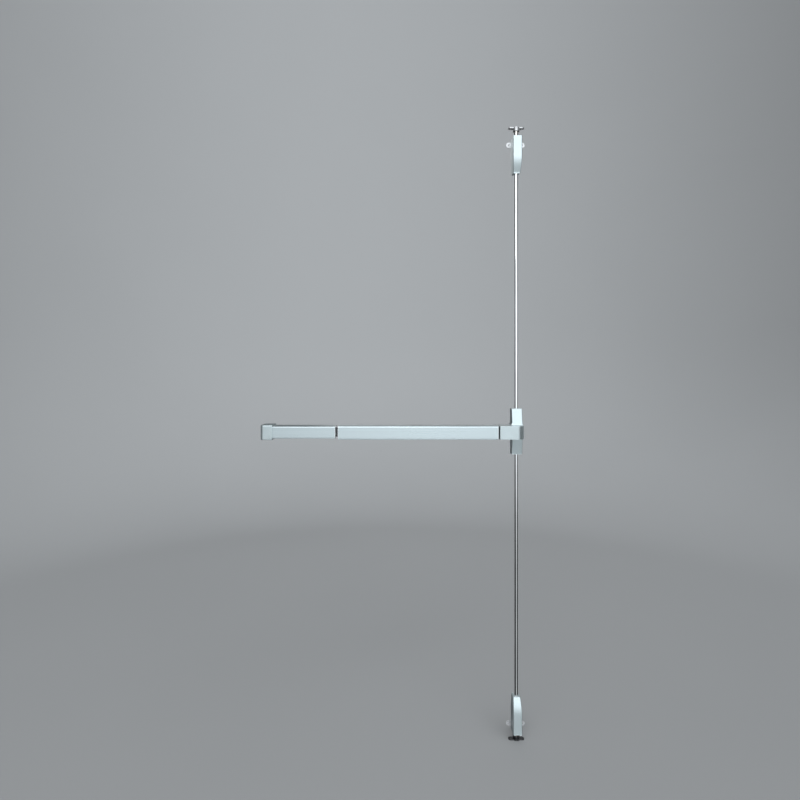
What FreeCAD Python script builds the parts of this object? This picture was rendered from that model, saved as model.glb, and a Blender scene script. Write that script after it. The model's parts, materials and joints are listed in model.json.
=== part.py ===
import FreeCAD, Part
import Sketcher
import math
import os
from types import SimpleNamespace

# Panic exit bar with two vertical rods: push pad, rail, head mechanism, rods, latches and strikes.
#
# The device is drawn as it hangs on the push side of a closed door.  X runs along the bar towards the
# lock stile, Y runs into the door and Z up.  The origin is on the door face, in the middle of the four
# chassis screws, where the rod line crosses the bar line.  Depth is the distance out from the door face,
# so a depth is always minus Y.  Every length is in millimetres and every angle in degrees.

Vector = FreeCAD.Vector

# name, value, meaning
SIZES = [
    # the line of the rods and of everything they carry
    ("rod_depth", 14.5, "door face to the centre line of rods, bolts and drive link"),
    ("rod_radius", 6.5, "outside of the rod tube"),
    ("rod_wall", 1.5, "wall of the rod tube"),
    ("stud_radius", 3.0, "M6 studs that join slide, rod and bolt"),
    ("nut_height", 5.0, "M6 lock nut"),
    ("nut_radius", 5.77, "M6 lock nut, over the corners"),
    ("plug_length", 22.0, "threaded plug pressed into each rod end"),
    # mounting rail
    ("rail_start", 50.0, "rod line to the rail's head end"),
    ("rail_reach", 806.0, "rod line to the rail's far end"),
    ("rail_height", 36.0, "rail, outside"),
    ("rail_depth", 46.0, "rail, outside"),
    ("rail_wall", 2.0, "rail web and flanges"),
    ("rail_lip", 3.0, "inward lip at the front of each flange"),
    # fixed cover over the far end of the rail
    ("cover_length", 209.0, "fixed rail cover"),
    ("cover_depth", 62.0, "front of the fixed rail cover"),
    ("cover_wall", 1.8, "fixed rail cover"),
    ("cover_round", 4.0, "front corners of the fixed rail cover"),
    ("cover_foot", 4.0, "depth at which the cover's legs end"),
    # end cap and its bracket
    ("cap_length", 38.0, "end cap along the bar"),
    ("cap_wall", 4.0, "end cap"),
    ("cap_side_round", 10.0, "outer front corner of the end cap"),
    ("cap_front_round", 4.0, "top and bottom front corners of the end cap"),
    ("bracket_sheet", 2.5, "sheet of the end bracket"),
    ("bracket_tongue", 26.0, "length of the end bracket inside the rail"),
    ("bracket_hole_pitch", 20.0, "two screw holes of the end bracket"),
    # push pad
    ("pad_gap", 10.0, "fixed rail cover to pad"),
    ("pad_head_gap", 4.0, "pad to head case"),
    ("pad_margin", 4.5, "rail flange to the outside of the pad"),
    ("pad_wall", 2.0, "pad extrusion"),
    ("pad_front", 72.0, "front of the pad at rest"),
    ("pad_leg", 44.0, "pad front to the ends of its legs"),
    ("pad_round", 5.5, "front corners of the pad"),
    ("plug_sheet", 3.0, "end plugs of the pad and of the fixed cover"),
    # cranks under the pad
    ("crank_arm_pad", 24.0, "crank pivot to the pad pin"),
    ("crank_arm_link", 14.0, "crank pivot to the link pin"),
    ("crank_swing", 15.0, "half of the crank's travel"),
    ("crank_near", 130.0, "rod line to the pivot of the crank next to the head"),
    ("crank_far", 520.0, "rod line to the pivot of the far crank"),
    ("crank_half", 3.0, "half of the crank plate's thickness"),
    ("crank_pivot_radius", 3.0, "crank pivot pin"),
    ("crank_pin_radius", 2.5, "pins at the ends of the crank arms"),
    ("cheek_inside", 9.0, "bar line to the inside of a crank bracket's cheek"),
    ("cheek_sheet", 2.0, "sheet of crank brackets and pad lugs"),
    ("lug_inside", 7.5, "bar line to the inside of a pad lug's cheek"),
    # drive link
    ("link_low", 3.5, "underside of the link strip, above the bar line"),
    ("link_sheet", 3.0, "thickness of the link strip"),
    ("link_width", 10.0, "width of the link strip"),
    ("link_spring_seat", 600.0, "rod line to the link's spring collar at rest"),
    ("link_spring_length", 36.0, "return spring at rest"),
    ("link_coil_radius", 5.4, "return spring, middle of the wire"),
    ("link_wire_radius", 0.9, "return spring, wire"),
    ("link_spring_turns", 7.0, "turns of the return spring"),
    ("link_rod_radius", 3.5, "round end of the link inside the return spring"),
    # head case and chassis
    ("head_left", 65.0, "rod line to the case's pad side"),
    ("head_right", 17.5, "rod line to the case's outer side"),
    ("head_margin", 4.0, "rail flange to the outside of the head case"),
    ("head_depth", 75.0, "front of the head case"),
    ("head_wall", 2.0, "head case and rod covers"),
    ("head_round", 25.0, "outer front corner of the head case"),
    ("edge_round", 2.4, "other front edges of the castings"),
    ("chassis_sheet", 3.0, "chassis plate"),
    ("chassis_reach", 72.0, "rod covers' length of the chassis, from the bar line"),
    ("chassis_half", 13.5, "half of the chassis width behind the rods"),
    ("chassis_hole_x", 18.0, "chassis screw pattern, across"),
    ("chassis_hole_z", 96.0, "chassis screw pattern, up"),
    ("fixing_hole_radius", 2.75, "clearance hole for an M5 fixing screw"),
    # rod covers
    ("rod_cover_reach", 76.0, "bar line to the end of a rod cover"),
    ("root_stand", 21.5, "rod's centre line to the front of a rod cover, at the head case"),
    ("tip_stand", 11.0, "rod's centre line to the front of a rod cover, at its end"),
    # levers in the head
    ("lever_in", 9.0, "lever pivot to the yoke pin"),
    ("lever_out", 20.0, "lever pivot to the slide pin"),
    ("lever_pivot_z", 13.0, "bar line to a lever pivot"),
    ("lever_sheet", 4.0, "lever plate"),
    ("lever_gap", 1.5, "flat end of a slide to the back of the lever plates"),
    ("lever_pivot_radius", 3.0, "lever pivot post"),
    ("yoke_pin_radius", 2.0, "lever pin in the yoke"),
    ("slide_pin_radius", 2.5, "lever pin in the slide"),
    ("yoke_sheet", 3.0, "yoke plate"),
    # slides
    ("slide_sheet", 4.0, "flat end of a slide"),
    ("slide_half", 8.0, "half of a slide's width"),
    ("slide_shank_radius", 5.0, "round shank of a slide"),
    ("slide_eye", 2.0, "metal left beyond the slot of a slide"),
    ("guide_low", 32.0, "bar line to the near face of a slide guide"),
    ("guide_height", 6.0, "slide guide"),
    ("slide_spring_length", 26.0, "slide spring at rest"),
    ("slide_coil_radius", 6.4, "slide spring, middle of the wire"),
    ("slide_wire_radius", 0.7, "slide spring, wire"),
    ("slide_spring_turns", 5.0, "turns of a slide spring"),
    ("slide_flange", 2.0, "spring flange of a slide"),
    # latches
    ("top_reach", 974.0, "bar line to the outer end of the top latch"),
    ("bottom_reach", 997.0, "bar line to the outer end of the bottom latch"),
    ("latch_length", 120.0, "latch cover"),
    ("latch_width", 30.0, "latch cover"),
    ("latch_stand", 27.0, "rod's centre line to the front of a latch cover"),
    ("latch_wall", 1.8, "latch cover"),
    ("latch_taper", 60.0, "length of the latch cover's curved end"),
    ("latch_drop", 17.5, "how far the curved end falls back"),
    ("latch_narrow", 3.0, "how far each side closes in at the rod end"),
    ("latch_sheet", 2.5, "latch plate"),
    ("ear_offset", 18.0, "outer end of a latch to its ears"),
    ("ear_half_height", 8.5, "ear, half of its height and its end radius"),
    ("ear_hole_pitch", 45.0, "two screw holes of a latch plate"),
    ("bolt_radius", 7.5, "latch bolt"),
    ("bolt_stem_radius", 4.0, "thin stem of the bolt inside its spring"),
    ("bolt_spring_length", 30.0, "bolt spring at rest"),
    ("bolt_coil_radius", 5.4, "bolt spring, middle of the wire"),
    ("bolt_wire_radius", 0.8, "bolt spring, wire"),
    ("bolt_spring_turns", 6.0, "turns of a bolt spring"),
    ("bolt_guide_length", 36.0, "bolt guide block"),
    ("bush_length", 6.0, "rod bush"),
    # strikes
    ("header_gap", 34.0, "top latch to the face that the top strike is screwed to"),
    ("threshold_gap", 27.0, "bottom latch to the face that the bottom strike is screwed to"),
    ("strike_sheet", 3.0, "strike plate"),
    ("strike_collar", 9.0, "height of the strike's collar above its plate"),
    ("strike_half_width", 11.0, "half of the strike's width"),
    ("strike_hole_pitch", 37.0, "two screw holes of a strike"),
    ("strike_hole_radius", 2.3, "strike screw hole"),
    ("bolt_engagement", 10.5, "how far a bolt stands in its strike"),
    # inner brackets, cranks and link
    ("eye_wall", 2.5, "metal round a pin's hole"),
    ("crank_hub_radius", 6.0, "hub of a crank"),
    ("crank_arm_half", 4.0, "half of a crank arm's width"),
    ("bracket_half", 14.0, "half of a crank bracket's length"),
    ("cheek_half", 8.0, "half of a crank bracket cheek's width, and its end radius"),
    ("web_margin", 3.0, "crank bracket's web beyond its cheeks"),
    ("bracket_rivet_x", 11.0, "crank pivot to each rivet of its bracket"),
    ("rivet_head", 1.2, "height of the heads of rivets and pivot pins"),
    ("rivet_head_radius", 3.6, "heads of the rivets"),
    ("pivot_head_radius", 4.5, "heads of the crank pivots"),
    ("lug_half", 16.0, "half of a pad lug's length"),
    ("lug_web_half", 12.0, "half of a pad lug's height"),
    ("glide_half", 7.0, "half of a pad glide's length"),
    ("glide_low", 30.0, "depth at which a pad glide begins"),
    ("glide_high", 44.0, "depth at which a pad glide ends"),
    ("bumper_near", 18.0, "crank pivot to the near end of a bumper"),
    ("bumper_far", 30.0, "crank pivot to the far end of a bumper"),
    ("link_collar", 3.0, "thickness of the link's spring collar"),
    ("link_collar_radius", 7.5, "link's spring collar"),
    ("link_tail", 16.0, "round end of the link beyond its spring"),
    ("yoke_left", 62.0, "rod line to the left end of the yoke"),
    ("yoke_right", 36.0, "rod line to the right end of the yoke's flange"),
    ("yoke_rivet_left", 57.0, "rod line to the left rivet of the yoke"),
    ("yoke_rivet_right", 45.0, "rod line to the right rivet of the yoke"),
    ("seat_foot", 20.0, "length of the spring bracket's foot"),
    ("seat_wall", 3.0, "upright wall of the spring bracket"),
    ("seat_stand", 11.0, "link's centre line to the front of the spring bracket's upright wall"),
    ("seat_low", 8.0, "spring bracket below the bar line"),
    ("seat_high", 14.0, "spring bracket above the bar line"),
    ("screw_ear_half", 5.0, "half of the width of an ear for a cover screw"),
    ("case_ear_sheet", 2.5, "ears for the case screws"),
    ("case_screw_x", 39.0, "rod line to the case screws"),
    ("case_screw_depth", 12.0, "depth of the case screws"),
    ("cover_screw_z", 56.0, "bar line to the rod-cover screws"),
    ("cover_screw_depth", 7.0, "depth of the rod-cover screws"),
    ("post_shoulder_radius", 5.0, "shoulder of a lever post"),
    ("clip_sheet", 0.7, "retaining ring"),
    ("clip_radius", 4.2, "retaining ring"),
    ("clip_mouth", 3.0, "opening of the retaining ring"),
    ("lever_hub_radius", 5.5, "hub of a lever"),
    ("lever_arm_half", 3.0, "half of a lever arm's width"),
    ("lever_eye_wall", 1.9, "metal round a lever's pins"),
    ("pin_end", 1.0, "how far a pin stands out of its slot"),
    ("guide_half", 12.0, "half of the width of guides and bolt blocks"),
    ("guide_stand", 8.0, "rod's centre line to the front of a slide guide"),
    ("slide_flange_radius", 8.5, "spring flange of a slide"),
    ("stud_end", 4.0, "threaded plug's end to the end of its stud"),
    ("bush_half", 11.0, "half of a rod bush's width"),
    ("bush_stand", 7.0, "rod's centre line to the front of a rod bush"),
    ("bolt_block_back", 4.0, "outer end of a latch to its guide block"),
    ("nose_length", 3.0, "cone at the bolt's end"),
    ("nose_drop", 2.5, "how much thinner the bolt's tip is"),
    ("plate_margin", 2.5, "latch cover's ends to the ends of its plate"),
    ("latch_screw_back", 12.0, "outer end of a latch to its cover screws"),
    ("latch_screw_depth", 5.2, "depth of the latch-cover screws"),
    ("latch_screw_length", 6.5, "latch-cover screws"),
    ("notch_radius", 12.0, "notch in the front of a latch cover above its bolt"),
    ("notch_offset", 8.0, "centre of that notch beyond the cover's end"),
    ("strike_end_radius", 8.0, "rounded ends of a strike"),
    # screws and clearances
    ("overrun", 1.0, "how far a cutting form runs past what it cuts"),
    ("pan_head", 2.0, "height of a rail screw's head"),
    ("cap_ear_half", 6.0, "half of the width of an end bracket's ear"),
    ("screw_radius", 1.7, "M4 screw, core"),
    ("screw_head_radius", 3.6, "M4 countersunk head"),
    ("screw_length", 9.0, "M4 countersunk screw, overall"),
    ("small_screw_radius", 1.25, "M3 screw, core"),
    ("small_head_radius", 2.7, "M3 countersunk head"),
    ("rivet_radius", 2.0, "rivets of brackets and yoke"),
    ("running_gap", 0.06, "radial clearance of a pivot or a guided shaft"),
    ("slot_gap", 0.25, "clearance of a pin in its slot"),
    ("snap_gap", 0.3, "cover to the part that it fits over"),
    ("open_gap", 0.5, "free passage round a rod or a bolt"),
]

DOC = FreeCAD.newDocument("panic_exit_bar")
PARTS = []


class Dim:
    """A length or an angle: its value now, and the spreadsheet expression that keeps it up to date."""

    def __init__(self, value, text):
        self.value = float(value)
        self.text = text

    def __add__(self, other):
        return Dim(self.value + number(other), f"({self.text} + {text(other)})")

    def __sub__(self, other):
        return Dim(self.value - number(other), f"({self.text} - {text(other)})")

    def __mul__(self, other):
        return Dim(self.value * number(other), f"{self.text} * {text(other)}")

    def __truediv__(self, other):
        return Dim(self.value / number(other), f"{self.text} / {text(other)}")

    def __radd__(self, other):
        return self + other

    def __rmul__(self, other):
        return self * other

    def __rsub__(self, other):
        return Dim(number(other) - self.value, f"({text(other)} - {self.text})")

    def __neg__(self):
        return Dim(-self.value, f"(0 - {self.text})")


def number(size):
    return size.value if isinstance(size, Dim) else float(size)


def text(size):
    return size.text if isinstance(size, Dim) else f"({size})"


def sine(angle):
    return Dim(math.sin(math.radians(angle.value)), f"sin({angle.text})")


def cosine(angle):
    return Dim(math.cos(math.radians(angle.value)), f"cos({angle.text})")


def arc_sine(ratio):
    return Dim(math.degrees(math.asin(ratio.value)), f"asin({ratio.text}) / 1 deg")


def make_sheet():
    """Writes the driving dimensions into the spreadsheet and returns them as named sizes."""
    sheet = DOC.addObject("Spreadsheet::Sheet", "Sizes")
    sizes = {}
    for row, (name, value, meaning) in enumerate(SIZES, start=1):
        sheet.set(f"A{row}", name)
        sheet.set(f"B{row}", str(value))
        sheet.set(f"C{row}", meaning)
        sheet.setAlias(f"B{row}", name)
        sizes[name] = Dim(value, f"Sizes.{name}")
    DOC.recompute()
    return SimpleNamespace(**sizes)


s = make_sheet()

# Motion that follows from the arms: pad, link and rods, and the lever's half travel.
pad_travel = 2 * s.crank_arm_pad * sine(s.crank_swing)
link_shift = s.crank_arm_link * sine(s.crank_swing)
lever_swing = arc_sine(link_shift / s.lever_in)
rod_travel = 2 * s.lever_out * sine(lever_swing)

# Places that several pieces share.
rail_half = s.rail_height / 2
rail_inside = rail_half - s.rail_wall
cover_half = rail_half + s.snap_gap + s.cover_wall
cover_end = s.rail_reach - s.cover_length
pad_far = cover_end - s.pad_gap
pad_near = s.head_left + s.pad_head_gap
pad_half = rail_half + s.pad_margin
pad_foot = s.pad_front - s.pad_leg
cap_inside = cover_half + s.snap_gap
cap_half = cap_inside + s.cap_wall
cap_start = s.rail_reach - s.cap_wall
cap_reach = cap_start + s.cap_length
crank_depth = s.rod_depth + s.crank_arm_link
pad_pin_depth = crank_depth + s.crank_arm_pad * sine(s.crank_swing)
link_middle = s.link_low + s.link_sheet / 2
lever_depth = s.rod_depth + s.slide_sheet / 2 + s.lever_gap
yoke_depth = lever_depth + s.lever_sheet + 1
rod_cover_root = s.rod_depth + s.root_stand
rod_cover_tip = s.rod_depth + s.tip_stand
latch_depth = s.rod_depth + s.latch_stand
seat_top = s.rod_depth + s.seat_stand
guide_top = s.rod_depth + s.guide_stand
bush_top = s.rod_depth + s.bush_stand
head_half = rail_half + s.head_margin
slide_pin_rest = s.lever_pivot_z + s.lever_out * sine(lever_swing)
guide_high = s.guide_low + s.guide_height
flange_low = guide_high + s.slide_spring_length
stud_root = flange_low + s.slide_flange
rod_start = stud_root + s.nut_height


# --- building blocks -------------------------------------------------------------------------------


def bind(item, prop, size):
    item.setExpression(prop, text(size))


def place(item, x, depth, z):
    bind(item, "Placement.Base.x", x)
    bind(item, "Placement.Base.y", 0 - depth)
    bind(item, "Placement.Base.z", z)


def box(x, depth, z):
    """A block; x, depth and z are (low, high)."""
    item = DOC.addObject("Part::Box", "Block")
    bind(item, "Length", x[1] - x[0])
    bind(item, "Width", depth[1] - depth[0])
    bind(item, "Height", z[1] - z[0])
    place(item, x[0], depth[1], z[0])
    return item


TURNS = {
    "x": FreeCAD.Rotation(Vector(0, 1, 0), 90),
    "depth": FreeCAD.Rotation(Vector(1, 0, 0), 90),
    "z": FreeCAD.Rotation(),
}


def stand(item, axis, centre, start):
    """Puts a round item on its axis; centre is the other two of x, depth and z, in that order."""
    item.Placement = FreeCAD.Placement(Vector(), TURNS[axis])
    spots = {
        "x": (start, centre[0], centre[1]),
        "depth": (centre[0], start, centre[1]),
        "z": (centre[0], centre[1], start),
    }
    place(item, *spots[axis])
    return item


def cylinder(axis, centre, span, radius):
    item = DOC.addObject("Part::Cylinder", "Round")
    bind(item, "Radius", radius)
    bind(item, "Height", span[1] - span[0])
    return stand(item, axis, centre, span[0])


def cone(axis, centre, span, low_radius, high_radius):
    item = DOC.addObject("Part::Cone", "Cone")
    bind(item, "Radius1", low_radius)
    bind(item, "Radius2", high_radius)
    bind(item, "Height", span[1] - span[0])
    return stand(item, axis, centre, span[0])


def hexagon(axis, centre, span, radius):
    item = DOC.addObject("Part::Prism", "Hexagon")
    item.Polygon = 6
    bind(item, "Circumradius", radius)
    bind(item, "Height", span[1] - span[0])
    return stand(item, axis, centre, span[0])


def fuse(*items):
    joined = DOC.addObject("Part::MultiFuse", "Union")
    joined.Shapes = list(items)
    joined.Refine = True
    return joined


def common(base, tool):
    joined = DOC.addObject("Part::Common", "Overlap")
    joined.Base = base
    joined.Tool = tool
    return joined


def cut(base, *tools):
    made = DOC.addObject("Part::Cut", "Cut")
    made.Base = base
    made.Tool = tools[0] if len(tools) == 1 else fuse(*tools)
    return made


def slot(axis, centre, length, span, radius, along):
    """A round-ended hole: two rounds and the block between them, length apart along x, depth or z."""
    half = length / 2
    across = [a for a in ("x", "depth", "z") if a != axis]
    i = across.index(along)
    ends = []
    for shift in (0 - half, half):
        spot = list(centre)
        spot[i] = spot[i] + shift
        ends.append(cylinder(axis, spot, span, radius))
    limits = {axis: span}
    for j, name in enumerate(across):
        reach = half if j == i else radius
        limits[name] = (centre[j] - reach, centre[j] + reach)
    return fuse(*ends, box(limits["x"], limits["depth"], limits["z"]))


def keep(item, label):
    """Makes item a finished sub-part under that name."""
    item.Label = label
    PARTS.append(item)
    return item


def group(label, items):
    """Several separate solids of one kind under one name."""
    joined = DOC.addObject("Part::Compound", "Group")
    joined.Links = list(items)
    return keep(joined, label)


class Body:
    """A PartDesign body built from sketches on its own origin planes.

    Sketch planes: "side" holds (depth, z) and extrudes along x; "front" holds (x, z) and extrudes out
    from the door; "plan" holds (x, depth) and extrudes up.
    """

    ROLES = {"side": "YZ_Plane", "front": "XZ_Plane", "plan": "XY_Plane"}

    def __init__(self, name):
        self.body = DOC.addObject("PartDesign::Body", name)
        self.planes = {f.Role: f for f in self.body.Origin.OriginFeatures}

    def sketch(self, plane, start, outlines):
        sketch = self.body.newObject("Sketcher::SketchObject", f"{plane}_profile")
        sketch.AttachmentSupport = [(self.planes[self.ROLES[plane]], "")]
        sketch.MapMode = "FlatFace"
        bind(sketch, "AttachmentOffset.Base.z", start)
        for outline in outlines:
            points = [self.local(plane, point) for point in outline]
            self.draw(sketch, points)
        return sketch

    @staticmethod
    def local(plane, point):
        u, v = point
        if plane == "side":
            return 0 - u, v
        if plane == "plan":
            return u, 0 - v
        return u, v

    @staticmethod
    def draw(sketch, points):
        """A closed outline whose corners are held by two dimensions each."""
        first = sketch.GeometryCount
        count = len(points)
        places = [Vector(number(u), number(v), 0) for u, v in points]
        for i in range(count):
            sketch.addGeometry(Part.LineSegment(places[i], places[(i + 1) % count]), False)
        for i in range(count):
            join = Sketcher.Constraint("Coincident", first + i, 2, first + (i + 1) % count, 1)
            sketch.addConstraint(join)
        for i, (u, v) in enumerate(points):
            for kind, size in (("DistanceX", u), ("DistanceY", v)):
                if abs(number(size)) < 1e-9 and not isinstance(size, Dim):
                    # a corner on an axis of the sketch
                    axis = -2 if kind == "DistanceX" else -1
                    held = Sketcher.Constraint("PointOnObject", first + i, 1, axis)
                    sketch.addConstraint(held)
                    continue
                held = Sketcher.Constraint(kind, -1, 1, first + i, 1, number(size))
                index = sketch.addConstraint(held)
                name = f"{kind}_{first + i}"
                sketch.renameConstraint(index, name)
                bind(sketch, f"Constraints.{name}", size)

    def pad(self, plane, span, *outlines):
        sketch = self.sketch(plane, span[0], outlines)
        feature = self.body.newObject("PartDesign::Pad", "Pad")
        feature.Profile = sketch
        bind(feature, "Length", span[1] - span[0])
        return self

    def pocket(self, plane, span, *outlines):
        """Cuts from span's low side to its high side, and makes sure that something was cut."""
        DOC.recompute()
        before = self.body.Shape.Volume
        sketch = self.sketch(plane, span[0], outlines)
        feature = self.body.newObject("PartDesign::Pocket", "Pocket")
        feature.Profile = sketch
        feature.Reversed = True
        bind(feature, "Length", span[1] - span[0])
        DOC.recompute()
        if not self.body.Shape.Volume < before - 1e-6:
            raise RuntimeError(f"a pocket of {self.body.Name} cuts nothing")
        return self

    def fillet(self, radius, chosen):
        """Rounds the edges for which chosen(edge) is true."""
        DOC.recompute()
        last = self.body.Tip
        names = [f"Edge{i}" for i, e in enumerate(last.Shape.Edges, start=1) if chosen(e)]
        if not names:
            raise RuntimeError(f"a fillet of {self.body.Name} finds no edge")
        feature = self.body.newObject("PartDesign::Fillet", "Fillet")
        feature.Base = (last, names)
        bind(feature, "Radius", radius)
        return self


TOLERANCE = 0.01


def rectangle(u, v):
    return [(u[0], v[0]), (u[1], v[0]), (u[1], v[1]), (u[0], v[1])]


def runs_along(edge, direction):
    """True for a straight edge parallel to the direction."""
    if not isinstance(edge.Curve, Part.Line):
        return False
    return abs(abs(edge.Curve.Direction.dot(direction)) - 1) < 1e-6


def at(edge, **limits):
    """True if the whole edge lies at the given x, depth or z."""
    box_ = edge.BoundBox
    spans = {
        "x": (box_.XMin, box_.XMax),
        "depth": (-box_.YMax, -box_.YMin),
        "z": (box_.ZMin, box_.ZMax),
    }
    for name, value in limits.items():
        low, high = spans[name]
        if max(abs(low - number(value)), abs(high - number(value))) > TOLERANCE:
            return False
    return True


def spring(label, axis, centre, span, coil, wire, turns):
    """A compression spring: one helical wire, laid so that its ends stay inside the span."""
    coil_radius, wire_radius = number(coil), number(wire)
    inset = wire_radius + number(s.running_gap)
    low, high = sorted((number(span[0]), number(span[1])))
    height = high - low - 2 * inset
    helix = Part.makeHelix(height / number(turns), height, coil_radius)
    ring = Part.Wire(Part.makeCircle(wire_radius, Vector(coil_radius, 0, 0), Vector(0, 1, 0)))
    coil = Part.Wire(helix.Edges).makePipeShell([ring], True, True)
    item = DOC.addObject("Part::Feature", "Coil")
    item.Shape = coil
    start = low + inset
    spots = {
        "x": Vector(start, -number(centre[0]), number(centre[1])),
        "z": Vector(number(centre[0]), -number(centre[1]), start),
    }
    item.Placement = FreeCAD.Placement(spots[axis], TURNS[axis])
    return keep(item, label)


def past(span):
    """The span run past both of its ends, for a form that cuts through."""
    return (span[0] - s.overrun, span[1] + s.overrun)


def mirrored(side, low, high):
    """The heights low to high above the bar line, or the same below it when side is -1."""
    return (low, high) if side > 0 else (0 - high, 0 - low)


def countersunk(axis, centre, face, inward, length, radius, head_radius):
    """A countersunk screw whose head is flush with face and points along inward (+1 or -1)."""
    depth_of_head = head_radius - radius
    tip = face + inward * length
    neck = face + inward * depth_of_head
    if inward > 0:
        head = cone(axis, centre, (face, neck), head_radius, radius)
        shank = cylinder(axis, centre, (face, tip), radius)
    else:
        head = cone(axis, centre, (neck, face), radius, head_radius)
        shank = cylinder(axis, centre, (tip, face), radius)
    return fuse(head, shank)


def m4_screw(axis, centre, face, inward):
    return countersunk(
        axis, centre, face, inward, s.screw_length, s.screw_radius, s.screw_head_radius
    )


# --- bar: rail, covers and end cap -----------------------------------------------------------------


def mounting_rail():
    """Aluminium channel with a web against the door and an inward lip on each flange."""
    lip_half = rail_half - s.rail_lip
    rail = Body("MountingRail")
    rail.pad(
        "side",
        (0 - s.rail_reach, 0 - s.rail_start),
        [
            (0, 0 - rail_half),
            (s.rail_depth, 0 - rail_half),
            (s.rail_depth, 0 - lip_half),
            (s.rail_depth - s.rail_wall, 0 - lip_half),
            (s.rail_depth - s.rail_wall, 0 - rail_inside),
            (s.rail_wall, 0 - rail_inside),
            (s.rail_wall, rail_inside),
            (s.rail_depth - s.rail_wall, rail_inside),
            (s.rail_depth - s.rail_wall, lip_half),
            (s.rail_depth, lip_half),
            (s.rail_depth, rail_half),
            (0, rail_half),
        ],
    )
    spots = [spot for pivot in (s.crank_near, s.crank_far) for spot in bracket_rivet_spots(pivot)]
    web = past((0, s.rail_wall))
    rivet_holes = [cylinder("depth", spot, web, s.rivet_radius) for spot in spots]
    spots = rail_screw_spots(far=True) + rail_screw_spots(far=False)
    screw_holes = [cylinder("depth", spot, web, s.screw_radius) for spot in spots]
    return keep(cut(rail.body, *rivet_holes, *screw_holes), "mounting_rail")


def channel_cover(name, x, half, foot, front, wall, radius):
    """A U-shaped cover, open towards the door, with rounded front corners."""
    cover = Body(name)
    inside = half - wall
    cover.pad(
        "side",
        x,
        [
            (foot, 0 - half),
            (front, 0 - half),
            (front, half),
            (foot, half),
            (foot, inside),
            (front - wall, inside),
            (front - wall, 0 - inside),
            (foot, 0 - inside),
        ],
    )
    along = Vector(1, 0, 0)
    cover.fillet(radius, lambda e: runs_along(e, along) and at(e, depth=front))
    cover.fillet(
        radius - wall, lambda e: runs_along(e, along) and at(e, depth=front - wall)
    )
    return cover.body


def rail_cover():
    cover = channel_cover(
        "RailCover",
        (0 - s.rail_reach, 0 - cover_end),
        cover_half,
        s.cover_foot,
        s.cover_depth,
        s.cover_wall,
        s.cover_round,
    )
    return keep(cover, "rail_cover")


def end_plug(name, x, back, front, half, radius):
    """Plug that fills a channel cover's end in front of the rail, rounded as the cover is inside."""
    plug = Body(name)
    plug.pad("side", x, rectangle((back, front), (0 - half, half)))
    along = Vector(1, 0, 0)
    plug.fillet(radius, lambda e: runs_along(e, along) and at(e, depth=front))
    return plug.body


def rail_cover_plug():
    """Black plug in the open end of the fixed cover, in front of the rail."""
    plug = end_plug(
        "RailCoverPlug",
        (0 - cover_end - s.plug_sheet, 0 - cover_end),
        s.rail_depth + s.open_gap,
        s.cover_depth - s.cover_wall,
        cover_half - s.cover_wall,
        s.cover_round - s.cover_wall,
    )
    return keep(plug, "rail_cover_plug")


def end_cap():
    """Cast cap over the far end of rail and cover."""
    front = s.cover_depth + s.snap_gap + s.cap_wall
    cap = Body("EndCap")
    cap.pad("plan", (0 - cap_half, cap_half), rectangle((0 - cap_reach, 0 - cap_start), (0, front)))
    up = Vector(0, 0, 1)
    cap.fillet(s.cap_side_round, lambda e: runs_along(e, up) and at(e, x=0 - cap_reach, depth=front))
    cap.fillet(
        s.cap_front_round,
        lambda e: (at(e, z=cap_half) or at(e, z=0 - cap_half))
        and -e.BoundBox.YMin > 1
        and e.BoundBox.XMax < number(0 - cap_start) + TOLERANCE
        and not at(e, x=0 - cap_start),
    )
    cap.pocket(
        "plan",
        (0 - cap_inside, cap_inside),
        rectangle(
            (0 - cap_reach + s.cap_wall, 0 - cap_start + s.overrun),
            (0 - s.overrun, front - s.cap_wall),
        ),
    )
    sink = s.screw_head_radius - s.screw_radius
    holes = [
        cone("z", (0 - cap_screw_x(), cap_screw_depth()), span, low, high)
        for span, low, high in (
            ((cap_half - sink, cap_half), s.screw_radius, s.screw_head_radius),
            ((0 - cap_half, sink - cap_half), s.screw_head_radius, s.screw_radius),
        )
    ]
    bore = cylinder(
        "z",
        (0 - cap_screw_x(), cap_screw_depth()),
        past((0 - cap_half, cap_half)),
        s.screw_radius + s.running_gap,
    )
    return keep(cut(cap.body, *holes, bore), "end_cap")


def cap_screw_x():
    return cap_start + s.cap_length / 2


def cap_screw_depth():
    return s.rail_depth / 2


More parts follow.
